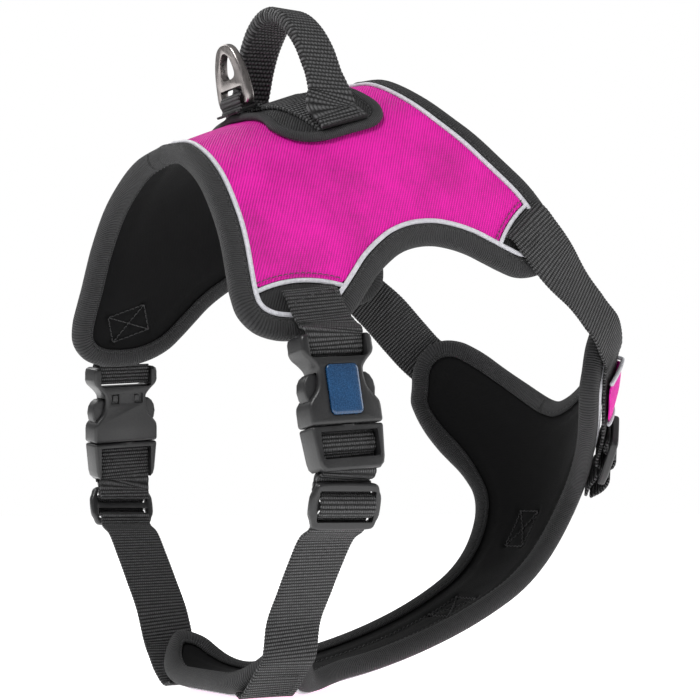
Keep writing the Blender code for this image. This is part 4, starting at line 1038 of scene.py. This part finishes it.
# ---- carved hard parts -------------------------------------------------------
def plate_mesh(loop, low, high):
    """An outline in a frame's y and z, extruded along its x, as a mesh in metres."""
    loop = np.asarray(loop, float)
    count = len(loop)
    points = [(h, y, z) for h in (low, high) for y, z in loop]
    faces = [list(range(count))[::-1], list(range(count, 2 * count))]
    faces += [[i, (i + 1) % count, count + (i + 1) % count, count + i] for i in range(count)]
    mesh = bpy.data.meshes.new("plate")
    mesh.from_pydata(np.array(points) * MM, [], faces)
    work = bmesh.new()
    work.from_mesh(mesh)
    bmesh.ops.recalc_face_normals(work, faces=work.faces)
    work.to_mesh(mesh)
    work.free()
    return mesh


def carved(name, body_plate, cutters, rim, edge, matrix, look, nodes, body):
    """A moulded part: a plate with a rounded rim, cut by others, its new edges softened."""
    scene = bpy.context.scene.collection.objects
    work = bpy.data.objects.new(name + "_work", plate_mesh(*body_plate))
    scene.link(work)
    soft = work.modifiers.new("rim", "BEVEL")
    soft.width, soft.segments, soft.limit_method, soft.angle_limit = rim * MM, 4, "ANGLE", math.radians(50)
    tools = []
    for k, cutter in enumerate(cutters):
        tool = bpy.data.objects.new(f"{name}_tool{k}", plate_mesh(*cutter))
        scene.link(tool)
        cut = work.modifiers.new("cut", "BOOLEAN")
        cut.operation, cut.object, cut.solver = "DIFFERENCE", tool, "EXACT"
        tools.append(tool)
    last = work.modifiers.new("edge", "BEVEL")
    last.width, last.segments, last.limit_method = edge * MM, 2, "ANGLE"
    last.angle_limit = math.radians(45)
    bpy.context.view_layer.update()
    mesh = bpy.data.meshes.new_from_object(work.evaluated_get(bpy.context.evaluated_depsgraph_get()))
    for item in [work, *tools]:
        bpy.data.objects.remove(item)
    mesh.name = name
    mesh.materials.clear()
    mesh.materials.append(LOOKS[look])
    mesh.transform(matrix)
    mesh.polygons.foreach_set("use_smooth", np.ones(len(mesh.polygons), bool))
    tidy = bmesh.new()
    tidy.from_mesh(mesh)
    for e in tidy.edges:
        e.smooth = e.calc_face_angle(0) < math.radians(40)
    tidy.to_mesh(mesh)
    tidy.free()
    piece = bpy.data.objects.new(name, mesh)
    scene.link(piece)
    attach(piece, body)
    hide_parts(*nodes)
    return piece


def round_box(half, low, high, radius, steps=6, shift=0.0):
    """A rectangle with round corners, centred sideways or shifted."""
    out = []
    corners = ((half - radius, low + radius, -90), (half - radius, high - radius, 0),
               (radius - half, high - radius, 90), (radius - half, low + radius, 180))
    for y, z, start in corners:
        for k in range(steps + 1):
            angle = math.radians(start + 90 * k / steps)
            out.append((shift + y + radius * math.cos(angle), z + radius * math.sin(angle)))
    return out


def mirrored_loop(half, pieces=0):
    """A closed loop from its right half, smoothed if asked."""
    loop = list(half) + [(-x, y) for x, y in reversed(half) if x > 0]
    return catmull(loop, pieces, closed=True) if pieces else np.array(loop, float)


def frame_matrix(x, y, z, origin):
    """A frame from its axes and its origin in millimetres."""
    turn = Matrix((Vector(x), Vector(y), Vector(z))).transposed().to_4x4()
    return Matrix.Translation(Vector(origin) * MM) @ turn


def ring_piece(name, origin, z, body):
    """A die-cast leash ring standing on its bar."""
    z = Vector(z).normalized()
    matrix = frame_matrix(Vector((1, 0, 0)).cross(z) * -1, (1, 0, 0), z, origin)
    half, low, high = 9.4, 1.9, 6.6
    cutters = [(mirrored_loop(RING_EYE_HALF, 4), -9, 9), (round_box(half, low, high, 1.0), -9, 9)]
    carved(name + "_casting", (mirrored_loop(RING_HALF, 5), -RING_THICK / 2, RING_THICK / 2),
           cutters, 1.15,
           0.5, matrix, "ring_metal", (name,), body)


def ring_loop(node, origin, y, z):
    """A webbing loop round a ring's bar, its legs lying flat behind and before it."""
    origin, y, z = (np.asarray(v, float) for v in (origin, y, z))
    radius = RING_THICK / 2 + 1.7
    path = [(-7.5, -radius), (-radius - 1.2, -radius)]
    path += [(radius * math.cos(math.radians(d)), radius * math.sin(math.radians(d)))
             for d in (205, 180, 155, 130, 105, 75, 50, 25, 0, -25)]
    path += [(radius + 1.2, -radius), (7.5, -radius)]
    points = np.array([origin + y * a + z * b for a, b in path])
    webbing(node + "_webbing", points, np.tile(SIDE, (len(points), 1)), (node,), width=17.0,
            thick=1.0,
            rib=0.1)


def make_rings():
    """The leash ring on the back and the one on the chest."""
    turn = RING_LEAN
    ring_piece("leash_ring", RING_BAR, (0, -math.sin(turn), math.cos(turn)), "leash_ring")
    ring_loop("ring_loop", RING_BAR, RIDGE, RIDGE_UP)
    foot, top = (chest(FRONT_RING_W, 0, h)[0] for h in (0, 1))
    out = top - foot
    origin = foot + out * FRONT_RING_HEIGHT
    y = np.cross(out, SIDE)
    hang = out * math.cos(FRONT_RING_HANG) + y * math.sin(FRONT_RING_HANG)
    ring_piece("front_ring", origin, hang, "front_ring")
    ring_loop("front_ring_loop", origin, y, out)


# ---- buckles and sliders -----------------------------------------------------
def side_matrix(centre, lean, tilt, side):
    """Frame of a part of a girth side: local x outwards, z up along the strap."""
    half_turn = Matrix.Rotation(0 if side > 0 else math.pi, 4, "Z")
    place = Matrix.Translation(Vector((centre.x * side, centre.y, centre.z)) * MM)
    return place @ Matrix.Rotation(lean, 4, "X") @ half_turn @ Matrix.Rotation(tilt, 4, "Y")


def make_housing(tag, matrix):
    """The buckle's female half: webbing slot, badge recess, socket and open sides for the prongs."""
    half = BUCKLE_HALF
    bend = [(half, SEAM + 6.5), (half - 0.4, SEAM + 8.6), (half - 1.9, SEAM + 10.6),
            (half - 4.4, SEAM + 13.4),
            (half - 5.6, SEAM + 16.6), (half - 6.0, SEAM + 20.4), (half - 5.6, SEAM + 22.6),
            (half - 3.6, SEAM + 25.0), (half - 1.0, SEAM + 27.4), (half, SEAM + 29.4), (half,
                                                                                        SEAM + 31)]
    shape = [(half, SEAM)] + [tuple(p) for p in catmull(bend, 3)] + [(half, HOUSING_TOP - 2.4),
                                                                    (half - 0.5, HOUSING_TOP - 0.8),
                                                                    (half - 1.8, HOUSING_TOP)]
    thick = BUCKLE_THICK / 2
    cutters = [
        (round_box(half - 2.2, SEAM - 1, SEAM + 21.0, 0.8), -3.8, 3.8),
        (round_box(HOUSING_SLOT, HOUSING_TOP - 9.2, HOUSING_TOP - 6.2, 1.0), -9, 9),
        (round_box(HOUSING_SLOT, HOUSING_TOP - 9.4, HOUSING_TOP + 6, 1.8), 2.3, 9),
        (round_box(HOUSING_SLOT, HOUSING_TOP - 9.4, HOUSING_TOP + 6, 1.8), -9, -2.3),
        (round_box(7.6, SEAM + 3.3, SEAM + 23.9, 2.4), thick - 0.5, 9),
    ]
    for sign in (1, -1):
        cutters.append((round_box(2.3, SEAM + 18.6, SEAM + 23.4, 0.3, 2, sign * 6.2), -9,
                        -thick + 1.3))
    carved("buckle_housing_moulding" + tag, (mirrored_loop(shape), -thick, thick), cutters, 1.5,
           0.4, matrix,
           "plastic", ("buckle_housing" + tag,), "harness")
    for sign in (1, -1):
        carved(f"housing_catch{'_front' if sign > 0 else '_rear'}{tag}",
               (round_box(1.3, SEAM + 19.6, SEAM + 22.6, 0.3, 2, sign * 5.6), -thick + 0.5,
                -thick + 1.6), [],
               0.2, 0.1, matrix, "plastic", (), "harness")


def make_badge(tag, matrix):
    """A plain domed badge in the housing's recess."""
    base, rings = BUCKLE_THICK / 2 - 0.45, []
    for k in range(13):
        turn = math.pi / 2 * k / 12
        inward = 5.4 * (1 - math.cos(turn)) ** 1.6 * 1.15
        rise = 0.35 + 1.5 * math.sin(turn) ** 0.6 if k else 0.0
        loop = round_box(7.3 - inward, SEAM + 3.6 + inward, SEAM + 23.6 - inward,
                         max(2.1 - inward * 0.3, 0.35))
        rings.append([matrix @ (Vector((base + rise, y, z)) * MM) / MM for y, z in loop])
    tube("badge_dome" + tag, np.array([[tuple(p) for p in r] for r in rings]), "badge",
         nodes=("buckle_badge" + tag,))


def make_plug(tag, matrix, body):
    """The buckle's male base with its webbing bar and centre tongue."""
    half, top = BUCKLE_HALF, SEAM - 0.3
    shape = [(3, top), (3, top + 13.5), (1.6, top + 15), (-1.6, top + 15), (-3, top + 13.5),
             (-3, top),
             (-half, top), (1.3 - half, PLUG_BOTTOM + 4.4), (2.0 - half, PLUG_BOTTOM + 1.9),
             (4.0 - half, PLUG_BOTTOM), (half - 4.0, PLUG_BOTTOM), (half - 2.0, PLUG_BOTTOM + 1.9),
             (half - 1.3, PLUG_BOTTOM + 4.4), (half, top)]
    inner = half - 3.4
    low, high = PLUG_BOTTOM + 4.6, SEAM - 2.6
    cutters = [
        (round_box(inner, low, SEAM - 7.6, 1.3), -9, 9),
        (round_box(inner, SEAM - 4.8, high, 0.8), -9, 9),
        (round_box(inner, PLUG_BOTTOM - 5, PLUG_BOTTOM + 8, 1.0), -9, 2.2),
        (round_box(inner, low, high, 1.3), 1.6, 9),
        (round_box(inner, low, high, 1.3), -9, -1.6),
        (round_box(8, top, top + 20, 0.2, 2), 3.4, 9),
        (round_box(8, top, top + 20, 0.2, 2), -9, -3.4),
    ]
    carved("buckle_plug_moulding" + tag, (np.array(shape), -5.8, 5.8), cutters, 1.3, 0.4, matrix,
           "plastic",
           ("buckle_plug" + tag,), body)


def make_prong(name, side, matrix, body):
    """A springy arm of the plug with its push button."""
    root = 9.0
    shape = [(-1.5, 0.2), (1.5, 0.2), (1.7, 7.6), (3.6, 8.1), (5.6, 9.1), (7.0, 11.0), (7.6, 14.2),
             (7.1, 17.2), (5.8, 19.4), (4.0, 20.7), (2.0, 20.8), (0.6, 19.8), (-0.7, 15)]
    loop = [((root + y) * side, z + SEAM) for y, z in shape]
    carved(name + "_moulding", (np.array(loop), -3.4, 3.4), [], 0.9, 0.2, matrix, "plastic",
           (name,), body)


def make_slider(name, length, matrix):
    """A three-bar slider with bowed sides, on the body of the same name."""
    half, end = SLIDER_WIDTH / 2, length / 2
    quarter = [(4, end + 0.25), (half - 4.2, end), (half - 2.0, end - 1.0), (half - 1.1, end - 3.2),
               (half, end * 0.35)]
    upper = quarter + [(x, -y) for x, y in reversed(quarter)]
    loop = catmull(upper + [(-x, -y) for x, y in upper], 3, closed=True)
    inner, rim = half - 3.0, end - 3.0
    cutters = [(round_box(inner, *sorted((sign * 1.3, sign * rim)), 0.9), -9, 9) for sign in (1,
                                                                                              -1)]
    carved(name + "_moulding", (loop, -1.8, 1.8), cutters, 1.2, 0.4, matrix, "plastic", (name,),
           name)


def local_points(matrix, path):
    """World points in millimetres for a path of (out, up) pairs in a frame."""
    return np.array([tuple(matrix @ (Vector((x, 0, z)) * MM) / MM) for x, z in path])


def make_anchor(side, tag, matrix):
    """Webbing from the saddle's rear lobe round the housing's top bar."""
    on_lobe = [(3.4, 112.2, -4.4), (3.0, 113.8, -3.2)] + ANCHOR_ON_LOBE
    lobe = np.vstack([saddle(s, t * side, STRAP_MID + lift) for s, t, lift in on_lobe])
    bar = HOUSING_TOP - 4.4
    half_turn = [(3.9, bar + 5.4), (3.5, bar - 1.3), (2.9, bar - 2.6), (1.9, bar - 3.0)]
    turn = half_turn + [(-x, z) for x, z in reversed(half_turn)]
    points = np.vstack([lobe, local_points(matrix, turn)])
    level = np.array(matrix.to_3x3() @ Vector((0, side, 0)))
    across = [np.array((0, 0.98, 0.18))] * len(lobe) + [level] * len(turn)
    webbing("girth_anchor_webbing" + tag, points, np.array(across), ("girth_anchor" + tag,))
    paths = box(-8, 12, 117 * side, 123.5 * side)
    stitches("girth_anchor_stitches" + tag, sew(saddle, paths, STRAP_MID + 0.7, 2.5, 0.24))


def make_girth_strap(side, tag, buckle, slider):
    """Webbing from the belly lobe through the slider, round the plug's bar and back."""
    on_lobe = [(274.6, 30)] + GIRTH_ON_LOBE
    lobe = np.vstack([chest(w, a * side, STRAP_MID - (2.4 if k == 0 else 0)) for k,
                      (w, a) in enumerate(on_lobe)])
    run = np.array([(x * side, y, z) for x, y, z in GIRTH_RUN])
    half_weave = [(-2.8, 8), (-2.8, 5.2), (1.2, 3.6), (2.8, 1.5)]
    weave = [(-3.6, -10.5)] + [(x, -z) for x, z in half_weave] + half_weave[::-1] + [(-2.9, 10.3)]
    bar = SEAM - 6.2
    half_turn = [(3, bar - 3.1), (2.8, bar + 1.2), (1.9, bar + 2.9)]
    wrap = [(0.9, PLUG_BOTTOM - 1), (1.3, PLUG_BOTTOM + 7)] + half_turn
    wrap += [(-x, z) for x, z in reversed(half_turn)] + [(-3.2, PLUG_BOTTOM + 5),
                                                         (-3.4, PLUG_BOTTOM - 1)]
    points = np.vstack([lobe, run, local_points(slider, weave), local_points(buckle, wrap),
                        local_points(slider, [(-4.9, 8.5), (-4.9, 2.5)])])
    across = np.tile((0, 1.0, 0), (len(points), 1))
    first = len(lobe) + len(run) + len(weave)
    across[first:first + len(wrap)] = np.array(buckle.to_3x3() @ Vector((0, side, 0)))
    strap = webbing("girth_strap_webbing" + tag, points, across, ("girth_strap" + tag,), body=None)
    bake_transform(strap)
    paths = box(266, 285, 36 * side, 46 * side)
    stitches("girth_strap_stitches" + tag, sew(chest, paths, STRAP_MID + 0.75, 2.5, 0.24))


def make_girth():
    """Both girth sides: anchors, buckles, sliders and straps."""
    for side, tag in ((1, "_right"), (-1, "_left")):
        matrix = side_matrix(BUCKLE_CENTRE, BUCKLE_LEAN, -BUCKLE_TILT, side)
        plug = "plug" + tag
        make_housing(tag, matrix)
        make_badge(tag, matrix)
        make_plug(tag, matrix, plug)
        make_prong("prong_front" + tag, side, matrix, "prong_front" + tag)
        make_prong("prong_rear" + tag, -side, matrix, "prong_rear" + tag)
        make_anchor(side, tag, matrix)
        slider = side_matrix(GIRTH_SLIDER, 0, GIRTH_SLIDER_TILT, side)
        make_slider("girth_slider" + tag, GIRTH_SLIDER_LENGTH, slider)
        make_girth_strap(side, tag, matrix, slider)


def chest_slider_matrix(side):
    """Frame of a chest slider, on the outer face of the plate."""
    w, a = CHEST_SLIDER_AT
    lift = STRAP_MID + CHEST_SLIDER_LIFT
    origin = chest(w, a * side, lift)[0]
    out = Vector(chest(w, a * side, lift + 1)[0] - origin).normalized()
    up = Vector(chest(w - 4, (a + 3.1) * side, lift)[0] - origin)
    up = (up - out * up.dot(out)).normalized()
    return frame_matrix(out, up.cross(out), up, origin)


def lying_across(surface, path, side, lift):
    """Centre points and width directions of a strap that lies on a surface."""
    points = np.vstack([surface(s, t * side, lift) for s, t in path])
    across = []
    for i, (s, t) in enumerate(path):
        along = points[min(i + 1, len(points) - 1)] - points[max(i - 1, 0)]
        turn = np.cross(along, surface(s, t * side, lift + 1)[0] - points[i])
        across.append(turn / np.linalg.norm(turn) * side)
    return points, across


def make_shoulder(side, tag):
    """Webbing from the saddle's front lobe, under the band, round the slider's middle bar."""
    tucked = [(120.6, 117.8, -4.6), (121.2, 119.4, -3.6)]
    points, across = lying_across(saddle, [t[:2] for t in tucked] + SHOULDER_ON_LOBE, side,
                                  STRAP_MID)
    for k, (s, t, lift) in enumerate(tucked):
        points[k] = saddle(s, t * side, STRAP_MID + lift)[0]
    lean = SHOULDER_ACROSS * (side, 1, 1)
    down, turns = lying_across(chest, SHOULDER_ON_PLATE, side, STRAP_MID)
    for k, (w, a) in enumerate(SHOULDER_ON_PLATE[1:3], 1):
        down[k] = chest(w, a * side, STRAP_MID - PLATE_SINK)[0]
    slider = chest_slider_matrix(side)
    low = -CHEST_SLIDER_LIFT
    loop = [(low, 6), (low, -2), (low + 1.2, -3.4), (1.6, -3.2), (2.8, -1.6), (2.8, 1.6),
            (1.6, 3.2),
            (low + 2, 5.2), (low + 2, 11.5)]
    on_plate = np.array(slider.to_3x3() @ Vector((0, 1, 0)))
    if on_plate @ turns[-1] < 0:
        on_plate = -on_plate
    points = np.vstack([points, [(x * side, y, z) for x, y, z in SHOULDER_RUN], down,
                        local_points(slider, loop)])
    across = across + [lean] * len(SHOULDER_RUN) + turns + [on_plate] * len(loop)
    strap = webbing("shoulder_strap_webbing" + tag, points, np.array(across),
                    ("shoulder_strap" + tag,),
                    body=None)
    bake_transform(strap)
    legs = [(low, -20), (low + 0.2, -15.5), (-3, -10.4), (-2.3, -7.7), (2.3, -7.7), (3, -10.4),
            (1.6, -15), (low + 2.2, -20)]
    webbing("chest_anchor_webbing" + tag, local_points(slider, legs),
            np.tile(on_plate, (len(legs), 1)),
            ("chest_anchor" + tag,))
    make_slider("chest_slider" + tag, CHEST_SLIDER_LENGTH, slider)
    paths = [[(114.5 + shift, (130.0 + shift) * side), (134.5 + shift, (122.6 + shift) * side)]
             for shift in (0, 2.6)]
    stitches("shoulder_stitches" + tag, sew(saddle, paths, STRAP_MID + 0.7, 2.5, 0.24))


# ---- floor, light and camera -------------------------------------------------
def area_light(name, location, target, size, power):
    """A soft square lamp aimed at a point."""
    lamp = bpy.data.lights.new(name, "AREA")
    lamp.size, lamp.energy = size, power
    made = bpy.data.objects.new(name, lamp)
    bpy.context.scene.collection.objects.link(made)
    made.location = location
    made.rotation_euler = (Vector(target) - Vector(location)).to_track_quat("-Z", "Y").to_euler()


def make_studio():
    """Pale floor, white surroundings, soft lamps and the camera."""
    low = min(corner.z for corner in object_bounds())
    mesh = bpy.data.meshes.new("floor")
    size = 12.0
    mesh.from_pydata([(-size, -size, 0), (size, -size, 0), (size, size, 0), (-size, size, 0)], [],
                     [(0, 1, 2, 3)])
    floor = bpy.data.objects.new("floor", mesh)
    bpy.context.scene.collection.objects.link(floor)
    floor.location.z = low - 0.0015
    g = Graph("floor_look", Roughness=0.8, Specular_IOR_Level=0.1, Emission_Color=(1, 1, 1, 1),
              Emission_Strength=0.9)
    mesh.materials.append(g.use(g.ramp(g.noise(3, 2), 0.3, 0.7,
                                       ((0.90, 0.90, 0.90), (0.93, 0.93, 0.93)))))
    floor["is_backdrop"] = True
    world = bpy.data.worlds.new("studio")
    bpy.context.scene.world = world
    world.use_nodes = True
    background = world.node_tree.nodes["Background"]
    background.inputs["Color"].default_value = (1, 1, 1, 1)
    rays = world.node_tree.nodes.new("ShaderNodeLightPath")
    share = world.node_tree.nodes.new("ShaderNodeMapRange")
    share.inputs["To Min"].default_value, share.inputs["To Max"].default_value = WORLD_LIGHT, WORLD_SHOWN
    world.node_tree.links.new(rays.outputs["Is Camera Ray"], share.inputs["Value"])
    world.node_tree.links.new(share.outputs[0], background.inputs["Strength"])
    area_light("key", (0.7, -1.2, 1.9), (0, 0.03, -0.05), 0.8, 34)
    area_light("fill", (0.8, 1.9, 0.5), (0, 0, -0.1), 1.0, 9)
    area_light("rim", (-1.4, -0.2, 1.2), (0, 0, -0.1), 1.0, 9)
    camera = bpy.data.cameras.new("camera")
    camera.lens, camera.sensor_width = 96.03, 36.0
    camera.clip_start, camera.clip_end = 0.01, 100.0
    viewer = bpy.data.objects.new("camera", camera)
    bpy.context.scene.collection.objects.link(viewer)
    viewer.location = (0.7204, -0.418, -0.1717)
    rise = math.radians(4.76)
    look = Vector((-0.8455 * math.cos(rise), 0.534 * math.cos(rise), math.sin(rise)))
    viewer.rotation_euler = look.to_track_quat("-Z", "Y").to_euler()
    bpy.context.scene.camera = viewer
    bpy.context.scene.view_settings.view_transform = "Standard"


make_saddle()
make_chest()
make_patch()
make_handle()
make_rings()
make_girth()
for strap_side, strap_tag in ((1, "_right"), (-1, "_left")):
    make_shoulder(strap_side, strap_tag)
make_studio()
